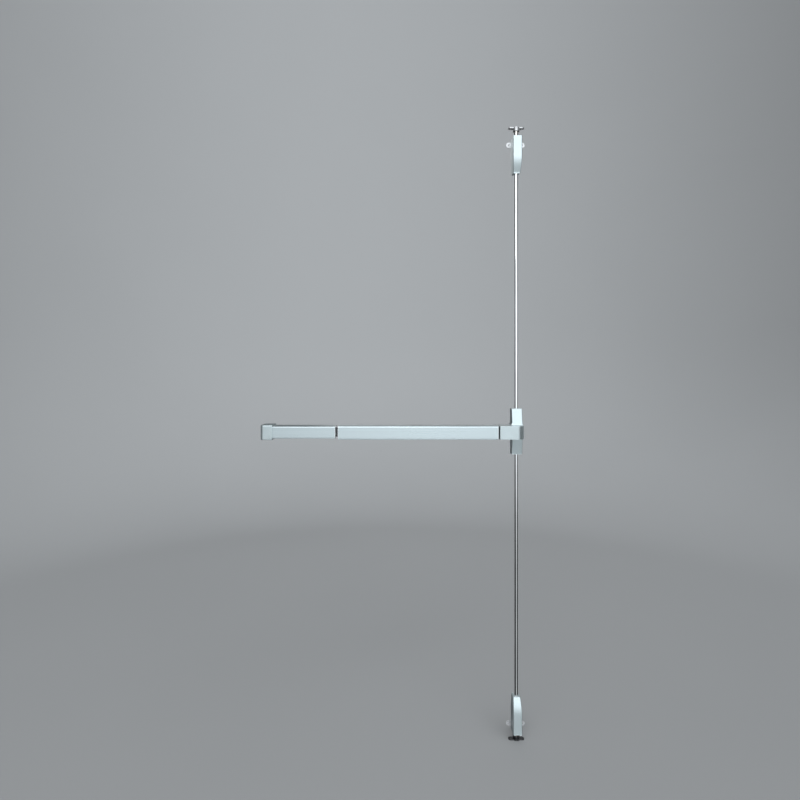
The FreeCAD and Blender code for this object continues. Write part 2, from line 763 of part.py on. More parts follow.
def end_bracket():
    """Joggled bracket: foot on the door, tongue on the rail's web, two ears for the cap screws."""
    foot_end = cap_reach - s.cap_wall - s.snap_gap
    foot = box(
        (0 - foot_end, 0 - s.rail_reach - s.snap_gap), (0, s.bracket_sheet), (0 - rail_half, rail_half)
    )
    tongue_half = rail_inside - s.open_gap
    tongue = box(
        (0 - foot_end, 0 - s.rail_reach + s.bracket_tongue),
        (s.rail_wall, s.rail_wall + s.bracket_sheet),
        (0 - tongue_half, tongue_half),
    )
    ears = [
        box(
            (0 - cap_screw_x() - s.cap_ear_half, s.cap_ear_half - cap_screw_x()),
            (0, cap_screw_depth() + s.cap_ear_half),
            mirrored(side, rail_half - s.bracket_sheet, rail_half),
        )
        for side in (1, -1)
    ]
    holes = [
        cylinder(
            "depth",
            (0 - bracket_hole_x(), side * s.bracket_hole_pitch / 2),
            past((0, s.rail_wall + s.bracket_sheet)),
            s.fixing_hole_radius,
        )
        for side in (1, -1)
    ]
    thread = cylinder(
        "z", (0 - cap_screw_x(), cap_screw_depth()), (0 - cap_half, cap_half), s.screw_radius
    )
    rail_holes = [
        cylinder("depth", spot, (0, s.rail_wall + s.bracket_sheet + s.overrun), s.screw_radius)
        for spot in rail_screw_spots(far=True)
    ]
    return keep(cut(fuse(foot, tongue, *ears), *holes, thread, *rail_holes), "end_bracket")


def bracket_hole_x():
    return cap_start + s.cap_length / 2


def rail_screw_spots(far):
    x = s.rail_reach - s.bracket_tongue / 2 if far else s.rail_start + s.bracket_tongue / 2
    return [(0 - x, side * s.rail_height / 4) for side in (1, -1)]


def rail_screws():
    """Pan-head screws that hold the rail's web to the tongues of end bracket and chassis."""
    screws = []
    for far, seat in ((True, s.bracket_sheet), (False, s.chassis_sheet)):
        top = s.rail_wall + seat
        for spot in rail_screw_spots(far):
            head = cylinder("depth", spot, (top, top + s.pan_head), s.screw_head_radius)
            shank = cylinder("depth", spot, (s.snap_gap, top), s.screw_radius)
            screws.append(fuse(head, shank))
    return group("rail_screws", screws)


# --- push pad --------------------------------------------------------------------------------------


def push_pad():
    pad = channel_cover(
        "PushPad",
        (0 - pad_far, 0 - pad_near),
        pad_half,
        pad_foot,
        s.pad_front,
        s.pad_wall,
        s.pad_round,
    )
    return keep(pad, "push_pad")


def pad_end_plugs():
    """Two plugs that close the pad's ends in front of the rail."""
    plugs = [
        end_plug(
            name,
            x,
            s.rail_depth + pad_travel + s.open_gap,
            s.pad_front - s.pad_wall,
            pad_half - s.pad_wall,
            s.pad_round - s.pad_wall,
        )
        for name, x in (
            ("FarPlug", (0 - pad_far, 0 - pad_far + s.plug_sheet)),
            ("NearPlug", (0 - pad_near - s.plug_sheet, 0 - pad_near)),
        )
    ]
    return group("pad_end_plugs", plugs)


def pad_lug(label, pivot):
    """Steel fork inside the pad, with a slot in each cheek for the crank's pad pin."""
    pin_x = 0 - pivot + s.crank_arm_pad * cosine(s.crank_swing)
    play = s.crank_arm_pad * (1 - cosine(s.crank_swing))
    inner_face = s.pad_front - s.pad_wall
    eye = s.crank_pin_radius + s.eye_wall + s.slot_gap
    web = box(
        (pin_x - s.lug_half, pin_x + s.lug_half),
        (inner_face - s.cheek_sheet, inner_face),
        (0 - s.lug_web_half, s.lug_web_half),
    )
    cheeks = [
        box(
            (pin_x - eye, pin_x + eye + play),
            (pad_pin_depth - eye, inner_face),
            mirrored(side, s.lug_inside, s.lug_inside + s.cheek_sheet),
        )
        for side in (1, -1)
    ]
    hole = slot(
        "z",
        (pin_x + play / 2, pad_pin_depth),
        play + s.slot_gap,
        (0 - s.lug_web_half, s.lug_web_half),
        s.crank_pin_radius + s.slot_gap / 2,
        "x",
    )
    return keep(cut(fuse(web, *cheeks), hole), label)


def pad_glides():
    """Nylon blocks on the rail's flanges that guide the pad's legs."""
    glides = []
    for pivot in (s.crank_near, s.crank_far):
        for side in (1, -1):
            reach = pad_half - s.pad_wall - s.snap_gap
            glides.append(
                box(
                    (0 - pivot - s.glide_half, s.glide_half - pivot),
                    (s.glide_low, s.glide_high),
                    mirrored(side, rail_half, reach),
                )
            )
    return group("pad_glides", glides)


def pad_bumpers():
    """Rubber blocks on the rail's lips that stop the pad softly at full travel."""
    stop = s.pad_front - s.pad_wall - pad_travel - s.snap_gap
    bumpers = [
        box(
            (0 - pivot - s.bumper_far, 0 - pivot - s.bumper_near),
            (s.rail_depth, stop),
            mirrored(side, rail_half - s.rail_lip, rail_half),
        )
        for pivot in (s.crank_near, s.crank_far)
        for side in (1, -1)
    ]
    return group("pad_bumpers", bumpers)


# --- cranks and drive link -------------------------------------------------------------------------


def crank_bracket(label, pivot):
    """Fork riveted to the rail's web that carries a crank's pivot pin."""
    web_half = s.cheek_inside + s.cheek_sheet + s.web_margin
    web = box(
        (0 - pivot - s.bracket_half, s.bracket_half - pivot),
        (s.rail_wall, s.rail_wall + s.cheek_sheet),
        (0 - web_half, web_half),
    )
    cheeks = []
    for side in (1, -1):
        z = mirrored(side, s.cheek_inside, s.cheek_inside + s.cheek_sheet)
        x = (0 - pivot - s.cheek_half, s.cheek_half - pivot)
        cheeks.append(box(x, (s.rail_wall, crank_depth), z))
        cheeks.append(cylinder("z", (0 - pivot, crank_depth), z, s.cheek_half))
    bore = cylinder(
        "z", (0 - pivot, crank_depth), (0 - web_half, web_half), s.crank_pivot_radius
    )
    holes = [
        cylinder("depth", spot, (0, s.rail_wall + s.cheek_sheet + s.overrun), s.rivet_radius)
        for spot in bracket_rivet_spots(pivot)
    ]
    return keep(cut(fuse(web, *cheeks), bore, *holes), label)


def bracket_rivet_spots(pivot):
    return [(0 - pivot + shift, 0) for shift in (0 - s.bracket_rivet_x, s.bracket_rivet_x)]


def bracket_rivets():
    rivets = []
    for pivot in (s.crank_near, s.crank_far):
        for spot in bracket_rivet_spots(pivot):
            top = s.rail_wall + s.cheek_sheet
            head = cylinder("depth", spot, (top, top + s.rivet_head), s.rivet_head_radius)
            shank = cylinder("depth", spot, (s.snap_gap, top), s.rivet_radius)
            rivets.append(fuse(head, shank))
    return group("bracket_rivets", rivets)


def crank_pivots():
    """The two headed pins that the cranks turn on."""
    reach = s.cheek_inside + s.cheek_sheet
    pins = []
    for pivot in (s.crank_near, s.crank_far):
        centre = (0 - pivot, crank_depth)
        span = (0 - reach - s.rivet_head, reach + s.rivet_head)
        pin = cylinder("z", centre, span, s.crank_pivot_radius)
        heads = [
            cylinder("z", centre, mirrored(side, reach, reach + s.rivet_head), s.pivot_head_radius)
            for side in (1, -1)
        ]
        pins.append(fuse(pin, *heads))
    return group("crank_pivots", pins)


def turned(item, label, pivot, swing, axis):
    """Moves a piece drawn about the origin to its pivot, turned to where it rests."""
    item.Placement = FreeCAD.Placement(Vector(), FreeCAD.Rotation(axis, 1))
    place(item, *pivot)
    bind(item, "Placement.Rotation.Angle", swing)
    return keep(item, label)


def crank(label, pivot):
    """Bell crank: one arm under the pad, one towards the door; drawn at mid travel."""
    half = s.crank_half
    z = (0 - half, half)
    hub_half = s.cheek_inside - s.slot_gap
    hub = cylinder("z", (0, 0), (0 - hub_half, hub_half), s.crank_hub_radius)
    pad_eye = cylinder("z", (s.crank_arm_pad, 0), z, s.crank_pin_radius + s.eye_wall)
    link_eye = cylinder("z", (0, 0 - s.crank_arm_link), z, s.crank_pin_radius + s.eye_wall)
    pad_arm = box((0, s.crank_arm_pad), (0 - s.crank_arm_half, s.crank_arm_half), z)
    link_arm = box((0 - s.crank_arm_half, s.crank_arm_half), (0 - s.crank_arm_link, 0), z)
    bore = cylinder(
        "z", (0, 0), past((0 - hub_half, hub_half)), s.crank_pivot_radius + s.running_gap
    )
    pin_holes = [
        cylinder("z", spot, past((0 - half, half)), s.crank_pin_radius)
        for spot in ((s.crank_arm_pad, 0), (0, 0 - s.crank_arm_link))
    ]
    solid = cut(fuse(hub, pad_eye, link_eye, pad_arm, link_arm), bore, *pin_holes)
    return turned(solid, label, (0 - pivot, crank_depth, 0), 0 - s.crank_swing, Vector(0, 0, 1))


def crank_pins(label, pivot):
    """The pins at the ends of a crank's two arms."""
    reach = s.lug_inside + s.cheek_sheet + s.pin_end
    pad_pin = cylinder("z", (s.crank_arm_pad, 0), (0 - reach, reach), s.crank_pin_radius)
    link_pin = cylinder(
        "z",
        (0, 0 - s.crank_arm_link),
        (0 - s.crank_half, s.link_low + s.link_sheet + s.pin_end),
        s.crank_pin_radius,
    )
    pair = DOC.addObject("Part::Compound", "Pair")
    pair.Links = [pad_pin, link_pin]
    return turned(pair, label, (0 - pivot, crank_depth, 0), 0 - s.crank_swing, Vector(0, 0, 1))


def drive_link():
    """Strip that both cranks pull, with a round end that runs through the return spring."""
    half = s.link_width / 2
    z = (s.link_low, s.link_low + s.link_sheet)
    collar = (0 - s.link_spring_seat, 0 - s.link_spring_seat + s.link_collar)
    strip = box(
        (collar[0], 0 - s.yoke_right - s.cheek_sheet), (s.rod_depth - half, s.rod_depth + half), z
    )
    centre = (s.rod_depth, link_middle)
    flange = cylinder("x", centre, collar, s.link_collar_radius)
    tail = cylinder(
        "x",
        centre,
        (0 - s.link_spring_seat - s.link_spring_length - s.link_tail, collar[1]),
        s.link_rod_radius,
    )
    drop = s.crank_arm_link * (1 - cosine(s.crank_swing))
    slots = [
        slot(
            "z",
            (0 - pivot + link_shift, s.rod_depth + drop / 2),
            drop + s.slot_gap,
            past(z),
            s.crank_pin_radius + s.slot_gap / 2,
            "depth",
        )
        for pivot in (s.crank_near, s.crank_far)
    ]
    holes = [
        cylinder("z", spot, past(z), s.rivet_radius) for spot in yoke_rivet_spots()
    ]
    return keep(cut(fuse(strip, flange, tail), *slots, *holes), "drive_link")


def yoke_rivet_spots():
    return [(0 - x, s.rod_depth) for x in (s.yoke_rivet_left, s.yoke_rivet_right)]


def yoke_rivets():
    low = s.link_low
    high = s.link_low + s.link_sheet + s.cheek_sheet
    rivets = []
    for spot in yoke_rivet_spots():
        shank = cylinder("z", spot, (low, high), s.rivet_radius)
        head = cylinder("z", spot, (high, high + s.rivet_head), s.rivet_head_radius)
        rivets.append(fuse(shank, head))
    return group("yoke_rivets", rivets)


def link_yoke():
    """Bent plate on the link's head end; its two upright slots take the levers' yoke pins."""
    low = s.link_low + s.link_sheet
    flange_z = (low, low + s.cheek_sheet)
    half = s.link_width / 2
    plate_depth = (yoke_depth, yoke_depth + s.yoke_sheet)
    pin_x = 0 - s.lever_out + link_shift
    pin_z = s.lever_pivot_z - s.lever_in * cosine(lever_swing)
    rise = s.lever_in * (1 - cosine(lever_swing))
    flange = box((0 - s.yoke_left, 0 - s.yoke_right), (s.rod_depth - half, plate_depth[1]), flange_z)
    plate = box(
        (0 - s.yoke_left, pin_x + s.yoke_pin_radius + s.eye_wall + s.slot_gap),
        plate_depth,
        (0 - flange_z[1], flange_z[1]),
    )
    slots = [
        slot(
            "depth",
            (pin_x, side * (pin_z - rise / 2)),
            rise + s.slot_gap,
            past(plate_depth),
            s.yoke_pin_radius + s.slot_gap / 2,
            "z",
        )
        for side in (1, -1)
    ]
    holes = [
        cylinder("z", spot, past(flange_z), s.rivet_radius)
        for spot in yoke_rivet_spots()
    ]
    return keep(cut(fuse(flange, plate), *slots, *holes), "link_yoke")


def spring_bracket():
    """Angle on the rail's web that the return spring pushes against."""
    face = 0 - s.link_spring_seat - s.link_spring_length
    z = (0 - s.seat_low, s.seat_high)
    foot = box((face - s.seat_foot, face), (s.rail_wall, s.rail_wall + s.cheek_sheet), z)
    wall = box((face - s.seat_wall, face), (s.rail_wall, seat_top), z)
    bore = cylinder(
        "x",
        (s.rod_depth, link_middle),
        (face - s.seat_foot, face + s.overrun),
        s.link_rod_radius + s.running_gap,
    )
    return keep(cut(fuse(foot, wall), bore), "spring_bracket")


def return_spring():
    high = 0 - s.link_spring_seat
    span = (high - s.link_spring_length, high)
    return spring(
        "return_spring",
        "x",
        (s.rod_depth, link_middle),
        span,
        s.link_coil_radius,
        s.link_wire_radius,
        s.link_spring_turns,
    )


# --- head: chassis, case, rod covers ---------------------------------------------------------------

def head_chassis():
    """Steel plate behind the head: tongue in the rail, ears for the case and rod-cover screws."""
    sheet = (0, s.chassis_sheet)
    ear_high = head_half - s.head_wall - s.snap_gap
    plate = box((0 - s.rail_start + s.snap_gap, s.chassis_half), sheet, (0 - ear_high, ear_high))
    strip = box((0 - s.chassis_half, s.chassis_half), sheet, (0 - s.chassis_reach, s.chassis_reach))
    tongue_half = rail_inside - s.open_gap
    tongue = box(
        (0 - s.rail_start - s.bracket_tongue, 0 - s.rail_start + s.web_margin),
        (s.rail_wall, s.rail_wall + s.chassis_sheet),
        (0 - tongue_half, tongue_half),
    )
    case_ears = [
        box(
            (0 - s.case_screw_x - s.screw_ear_half, s.screw_ear_half - s.case_screw_x),
            (0, s.case_screw_depth + s.screw_ear_half),
            mirrored(side, ear_high - s.case_ear_sheet, ear_high),
        )
        for side in (1, -1)
    ]
    cover_ears = []
    ear_reach = s.head_right - s.head_wall - s.snap_gap
    ear_depth = (0, s.cover_screw_depth + s.screw_ear_half)
    for side in (1, -1):
        z = mirrored(
            side, s.cover_screw_z - s.screw_ear_half, s.cover_screw_z + s.screw_ear_half
        )
        cover_ears.append(box((s.chassis_half - s.overrun, ear_reach), ear_depth, z))
        cover_ears.append(box((0 - ear_reach, s.overrun - s.chassis_half), ear_depth, z))
    fixing_holes = [
        cylinder(
            "depth",
            (sx * s.chassis_hole_x / 2, sz * s.chassis_hole_z / 2),
            past((0, s.chassis_sheet)),
            s.fixing_hole_radius,
        )
        for sx in (1, -1)
        for sz in (1, -1)
    ]
    threads = [
        cylinder(
            "z",
            (0 - s.case_screw_x, s.case_screw_depth),
            (0 - head_half, head_half),
            s.screw_radius,
        )
    ]
    for side in (1, -1):
        centre = (s.cover_screw_depth, side * s.cover_screw_z)
        threads.append(cylinder("x", centre, (0 - s.head_right, s.head_right), s.screw_radius))
    posts = [
        cylinder("depth", spot, past((0, s.chassis_sheet)), s.lever_pivot_radius)
        for spot in lever_pivot_spots()
    ]
    rail_holes = [
        cylinder("depth", spot, (0, s.rail_wall + s.chassis_sheet + s.overrun), s.screw_radius)
        for spot in rail_screw_spots(far=False)
    ]
    solid = fuse(plate, strip, tongue, *case_ears, *cover_ears)
    return keep(cut(solid, *fixing_holes, *threads, *posts, *rail_holes), "head_chassis")


def head_block(name, x, front, half, corner, edge):
    """Outer or inner form of the head case: a block with a large outer corner and rounded front."""
    block = Body(name)
    block.pad("plan", (0 - half, half), rectangle(x, (0, front)))
    up = Vector(0, 0, 1)
    block.fillet(corner, lambda e: runs_along(e, up) and at(e, x=x[1], depth=front))
    block.fillet(edge, lambda e: runs_along(e, up) and at(e, x=x[0], depth=front))
    block.fillet(
        edge,
        lambda e: (at(e, z=half) or at(e, z=0 - half))
        and not at(e, depth=0)
        and not at(e, x=x[0]),
    )
    return block.body


def head_case():
    """Cast cover of the mechanism, open at the back, where the rail enters and over the rods."""
    w = s.head_wall
    outer = head_block(
        "HeadCase",
        (0 - s.head_left, s.head_right),
        s.head_depth,
        head_half,
        s.head_round,
        s.edge_round,
    )
    inner = head_block(
        "HeadCaseInside",
        (0 - s.head_left + w, s.head_right - w),
        s.head_depth - w,
        head_half - w,
        s.head_round - w,
        s.edge_round - w + s.slot_gap,
    )
    rail_door = box(
        (0 - s.head_left - s.overrun, 0 - s.head_left + w + s.overrun),
        (0 - s.overrun, s.rail_depth + s.snap_gap),
        (0 - rail_half - s.snap_gap, rail_half + s.snap_gap),
    )
    rod_half = s.head_right - w
    rod_doors = [
        box(
            (0 - rod_half, rod_half),
            (0 - s.overrun, rod_cover_root - w),
            mirrored(side, head_half - w - s.overrun, head_half + s.overrun),
        )
        for side in (1, -1)
    ]
    centre = (0 - s.case_screw_x, s.case_screw_depth)
    sink = s.screw_head_radius - s.screw_radius
    sinks = [
        cone("z", centre, (head_half - sink, head_half), s.screw_radius, s.screw_head_radius),
        cone("z", centre, (0 - head_half, sink - head_half), s.screw_head_radius, s.screw_radius),
        cylinder("z", centre, past((0 - head_half, head_half)), s.screw_radius),
    ]
    return keep(cut(outer, inner, rail_door, *rod_doors, *sinks), "head_case")


def rod_cover_block(name, side, low, half, tip, root, high):
    """Wedge that is deepest at the head case: outer or inner form of a rod cover."""
    block = Body(name)
    block.pad(
        "side",
        (0 - half, half),
        [
            (0, side * low),
            (root, side * low),
            (tip, side * high),
            (0, side * high),
        ],
    )
    return block


def rod_cover(label, side):
    """Sloping cast cover over the slide and its spring, with a flared root at the head case."""
    w = s.head_wall
    outer = rod_cover_block(
        f"RodCover{side + 2}",
        side,
        head_half,
        s.head_right,
        rod_cover_tip,
        rod_cover_root,
        s.rod_cover_reach,
    )
    outer.fillet(
        s.edge_round,
        lambda e: -e.BoundBox.YMin > number(rod_cover_tip) - TOLERANCE
        and not (at(e, z=side * head_half)),
    )
    inner = rod_cover_block(
        f"RodCoverInside{side + 2}",
        side,
        head_half - s.overrun,
        s.head_right - w,
        rod_cover_tip - w,
        rod_cover_root - w,
        s.rod_cover_reach - w,
    )
    passage = cylinder(
        "z",
        (0, s.rod_depth),
        mirrored(side, s.rod_cover_reach - w - s.overrun, s.rod_cover_reach + s.overrun),
        s.rod_radius + s.open_gap,
    )
    centre = (s.cover_screw_depth, side * s.cover_screw_z)
    sink = s.screw_head_radius - s.screw_radius
    sinks = [
        cone("x", centre, (s.head_right - sink, s.head_right), s.screw_radius, s.screw_head_radius),
        cone(
            "x", centre, (0 - s.head_right, sink - s.head_right), s.screw_head_radius, s.screw_radius
        ),
        cylinder("x", centre, past((0 - s.head_right, s.head_right)), s.screw_radius),
    ]
    solid = cut(outer.body, inner.body, passage, *sinks)
    return keep(solid, label)


def cover_screws():
    """M4 countersunk screws of end cap, head case and rod covers."""
    screws = []
    for side in (1, -1):
        screws.append(m4_screw("z", (0 - cap_screw_x(), cap_screw_depth()), side * cap_half, -side))
        screws.append(m4_screw("z", (0 - s.case_screw_x, s.case_screw_depth), side * head_half, -side))
        for end in (1, -1):
            centre = (s.cover_screw_depth, side * s.cover_screw_z)
            screws.append(m4_screw("x", centre, end * s.head_right, -end))
    return group("cover_screws", screws)


# --- head: levers and slides -----------------------------------------------------------------------


def lever_pivot_spots():
    return [(0 - s.lever_out, side * s.lever_pivot_z) for side in (1, -1)]


def lever_pivots():
    """Shouldered posts riveted into the chassis; the levers turn on their thin ends."""
    posts = []
    top = lever_depth + s.lever_sheet + s.slot_gap + 2 * s.clip_sheet
    for spot in lever_pivot_spots():
        thin = cylinder("depth", spot, (0, top), s.lever_pivot_radius)
        thick = (s.chassis_sheet, lever_depth - s.slot_gap)
        shoulder = cylinder("depth", spot, thick, s.post_shoulder_radius)
        posts.append(fuse(thin, shoulder))
    return group("lever_pivots", posts)


def lever_clips():
    """Retaining rings in front of the levers."""
    low = lever_depth + s.lever_sheet + s.slot_gap
    through = (low - s.overrun, low + s.clip_sheet + s.overrun)
    rings = []
    for spot in lever_pivot_spots():
        ring = cylinder("depth", spot, (low, low + s.clip_sheet), s.clip_radius)
        hole = cylinder("depth", spot, through, s.lever_pivot_radius)
        gap = box(
            (spot[0] - s.clip_radius, spot[0]),
            through,
            (spot[1] - s.clip_mouth / 2, spot[1] + s.clip_mouth / 2),
        )
        rings.append(cut(ring, hole, gap))
    return group("lever_clips", rings)


def lever(label, side):
    """Bell crank of the head with its two pins; drawn at mid travel, output arm along X."""
    depth = (lever_depth, lever_depth + s.lever_sheet)
    arm = (0 - s.lever_arm_half, s.lever_arm_half)
    hub = cylinder("depth", (0, 0), depth, s.lever_hub_radius)
    yoke_spot = (0, 0 - side * s.lever_in)
    slide_spot = (s.lever_out, 0)
    yoke_eye = cylinder("depth", yoke_spot, depth, s.yoke_pin_radius + s.lever_eye_wall)
    slide_eye = cylinder("depth", slide_spot, depth, s.slide_pin_radius + s.lever_eye_wall)
    arm_in = box(arm, depth, (0 - s.lever_in, 0) if side > 0 else (0, s.lever_in))
    arm_out = box((0, s.lever_out), depth, arm)
    bore = cylinder(
        "depth", (0, 0), past(depth), s.lever_pivot_radius + s.running_gap
    )
    yoke_pin = cylinder(
        "depth", yoke_spot, (depth[0], yoke_depth + s.yoke_sheet + s.pin_end), s.yoke_pin_radius
    )
    slide_pin = cylinder(
        "depth",
        slide_spot,
        (s.rod_depth - s.slide_sheet / 2 - s.pin_end, depth[1]),
        s.slide_pin_radius,
    )
    solid = cut(fuse(hub, yoke_eye, slide_eye, arm_in, arm_out, yoke_pin, slide_pin), bore)
    # Each lever rests half its swing away from mid travel: the upper one raised, the lower one lowered.
    pivot = (0 - s.lever_out, 0, side * s.lever_pivot_z)
    return turned(solid, label, pivot, 0 - side * lever_swing, Vector(0, 1, 0))


def slide(label, side):
    """Flat eye moved by the lever, round shank in the guide, spring flange and M6 stud for the rod."""
    half = s.slide_sheet / 2
    depth = (s.rod_depth - half, s.rod_depth + half)
    eye_low = slide_pin_rest - s.slide_pin_radius - s.slot_gap - s.slide_eye
    flat_end = s.guide_low - s.slide_flange
    flat = box((0 - s.slide_half, s.slide_half), depth, mirrored(side, eye_low, flat_end))
    centre = (0, s.rod_depth)
    shank_span = mirrored(side, flat_end - s.overrun, stud_root)
    shank = cylinder("z", centre, shank_span, s.slide_shank_radius)
    flange = cylinder("z", centre, mirrored(side, flange_low, stud_root), s.slide_flange_radius)
    stud = cylinder(
        "z", centre, mirrored(side, stud_root, rod_start + s.plug_length - s.stud_end), s.stud_radius
    )
    back = s.lever_out * (1 - cosine(lever_swing))
    hole = slot(
        "depth",
        (0 - back / 2, side * slide_pin_rest),
        back + s.slot_gap,
        past(depth),
        s.slide_pin_radius + s.slot_gap / 2,
        "x",
    )
    return keep(cut(fuse(flat, shank, flange, stud), hole), label)


def slide_guides():
    """Blocks on the chassis that guide the slides' shanks."""
    guides = []
    for side in (1, -1):
        z = mirrored(side, s.guide_low, guide_high)
        block = box((0 - s.guide_half, s.guide_half), (s.chassis_sheet, guide_top), z)
        bore = cylinder(
            "z",
            (0, s.rod_depth),
            mirrored(side, s.guide_low - s.overrun, guide_high + s.overrun),
            s.slide_shank_radius + s.running_gap,
        )
        guides.append(cut(block, bore))
    return group("slide_guides", guides)


def slide_spring(label, side):
    span = mirrored(side, guide_high, flange_low)
    return spring(
        label,
        "z",
        (0, s.rod_depth),
        span,
        s.slide_coil_radius,
        s.slide_wire_radius,
        s.slide_spring_turns,
    )


# --- rods ------------------------------------------------------------------------------------------


def latch_z(side, outward):
    """Height of a point of a latch; outward is counted from its outer end away from the bar."""
    reach = s.top_reach if side > 0 else s.bottom_reach
    return side * (reach + outward)


def latch_span(side, outer, inner):
    """Heights of a stretch of a latch, given as distances back from its outer end."""
    a = latch_z(side, 0 - outer)
    b = latch_z(side, 0 - inner)
    return (b, a) if side > 0 else (a, b)


guide_inner_end = s.bolt_block_back + s.bolt_guide_length
bolt_inner_end = guide_inner_end + s.rod_radius
bush_outer_end = bolt_inner_end + s.bolt_spring_length
bush_inner_end = bush_outer_end + s.bush_length
stem_inner_end = bush_inner_end + s.slide_flange
rod_outer_end = stem_inner_end + s.nut_height


def rod_span(side):
    reach = s.top_reach if side > 0 else s.bottom_reach
    return mirrored(side, rod_start, reach - rod_outer_end)


def rod(label, side):
    tube = cylinder("z", (0, s.rod_depth), rod_span(side), s.rod_radius)
    low, high = rod_span(side)
    bore = cylinder("z", (0, s.rod_depth), past((low, high)), s.rod_radius - s.rod_wall)
    return keep(cut(tube, bore), label)


def rod_plugs(label, side):
    """Threaded plugs pressed into both ends of a rod."""
    low, high = rod_span(side)
    plugs = []
    for span in ((low, low + s.plug_length), (high - s.plug_length, high)):
        plug = cylinder("z", (0, s.rod_depth), span, s.rod_radius - s.rod_wall)
        thread = cylinder("z", (0, s.rod_depth), past(span), s.stud_radius)
        plugs.append(cut(plug, thread))
    return group(label, plugs)


def lock_nuts(label, side):
    """M6 nuts that lock the studs at both ends of a rod."""
    low, high = rod_span(side)
    nuts = []
    for span in ((low - s.nut_height, low), (high, high + s.nut_height)):
        nut = hexagon("z", (0, s.rod_depth), span, s.nut_radius)
        thread = cylinder("z", (0, s.rod_depth), past(span), s.stud_radius)
        nuts.append(cut(nut, thread))
    return group(label, nuts)


# --- latches and strikes ---------------------------------------------------------------------------


def bolt(label, side):
    """Round latch bolt with a conical nose, a stem inside its spring and an M6 stud for the rod."""
    face = s.header_gap if side > 0 else s.threshold_gap
    mouth = face - s.strike_sheet - s.strike_collar
    tip = mouth + s.bolt_engagement
    centre = (0, s.rod_depth)
    body = cylinder("z", centre, latch_span(side, s.nose_length - tip, bolt_inner_end), s.bolt_radius)
    nose_radii = (s.bolt_radius, s.bolt_radius - s.nose_drop)
    low_radius, high_radius = nose_radii if side > 0 else nose_radii[::-1]
    nose = cone("z", centre, latch_span(side, 0 - tip, s.nose_length - tip), low_radius, high_radius)
    stem = cylinder("z", centre, latch_span(side, bolt_inner_end, stem_inner_end), s.bolt_stem_radius)
    stud = cylinder(
        "z",
        centre,
        latch_span(side, stem_inner_end, rod_outer_end + s.plug_length - s.stud_end),
        s.stud_radius,
    )
    return keep(fuse(body, nose, stem, stud), label)


def bolt_spring(label, side):
    span = latch_span(side, bolt_inner_end, bush_outer_end)
    return spring(
        label,
        "z",
        (0, s.rod_depth),
        span,
        s.bolt_coil_radius,
        s.bolt_wire_radius,
        s.bolt_spring_turns,
    )


def bolt_guides():
    """Blocks on the latch plates that guide the bolts and take the cover screws."""
    blocks = []
    for side in (1, -1):
        block = box(
            (0 - s.guide_half, s.guide_half),
            (s.latch_sheet, latch_depth - s.latch_wall - s.overrun),
            latch_span(side, s.bolt_block_back, guide_inner_end),
        )
        bore = cylinder(
            "z",
            (0, s.rod_depth),
            latch_span(side, s.bolt_block_back - s.overrun, guide_inner_end + s.overrun),
            s.bolt_radius + s.running_gap,
        )
        centre = (s.latch_screw_depth, latch_z(side, 0 - s.latch_screw_back))
        threads = cylinder("x", centre, (0 - s.guide_half, s.guide_half), s.small_screw_radius)
        blocks.append(cut(block, bore, threads))
    return group("bolt_guides", blocks)


def rod_bushes():
    """Nylon bushes on the latch plates: they guide the bolt's stem and seat its spring."""
    bushes = []
    for side in (1, -1):
        block = box(
            (0 - s.bush_half, s.bush_half),
            (s.latch_sheet, bush_top),
            latch_span(side, bush_outer_end, bush_inner_end),
        )
        bore = cylinder(
            "z",
            (0, s.rod_depth),
            latch_span(side, bush_outer_end - s.overrun, bush_inner_end + s.overrun),
            s.bolt_stem_radius + s.running_gap,
        )
        bushes.append(cut(block, bore))
    return group("rod_bushes", bushes)


def latch_plate(label, side):
    """Plate on the door with an ear on each side for the fixing screws."""
    sheet = (0, s.latch_sheet)
    half = s.latch_width / 2 - s.latch_wall - s.snap_gap
    narrow_half = half - s.latch_narrow
    plate = box(
        (0 - half, half),
        sheet,
        latch_span(side, s.plate_margin, s.latch_length - s.latch_taper),
    )
    tail = box(
        (0 - narrow_half, narrow_half),
        sheet,
        latch_span(side, s.latch_length - s.latch_taper, s.latch_length - s.plate_margin),
    )
    ear_z = latch_z(side, 0 - s.ear_offset)
    ears = slot("depth", (0, ear_z), s.ear_hole_pitch, sheet, s.ear_half_height, "x")
    holes = [
        cylinder(
            "depth",
            (end * s.ear_hole_pitch / 2, ear_z),
            past((0, s.latch_sheet)),
            s.fixing_hole_radius,
        )
        for end in (1, -1)
    ]
    return keep(cut(fuse(plate, tail, ears), *holes), label)


def latch_form(name, side, inset):
    """Outer (inset 0) or inner form of a latch cover: front outline and side outline, each curved."""
    half = s.latch_width / 2 - inset
    front = latch_depth - inset
    outer_end = latch_z(side, 0 - inset)
    bend = latch_z(side, s.latch_taper - s.latch_length)
    inner_end = latch_z(side, inset - s.latch_length)
    side_form = Body(f"{name}Side")
    # the curved end is a chain of short flats that follows a parabola
    steps = 8
    profile = [(0, outer_end), (front, outer_end)]
    for i in range(steps + 1):
        share = i / steps
        fall = s.latch_drop * share * share
        profile.append((front - fall, bend + (inner_end - bend) * share))
    profile.append((0, inner_end))
    side_form.pad("side", (0 - half, half), profile)
    front_form = Body(f"{name}Front")
    right = [(half - s.latch_narrow * (i / steps) ** 2, bend + (inner_end - bend) * (i / steps))
             for i in range(steps + 1)]
    left = [(0 - x, z) for x, z in reversed(right)]
    front_form.pad("front", (0, front), [(half, outer_end), *right, *left, (0 - half, outer_end)])
    return common(side_form.body, front_form.body)


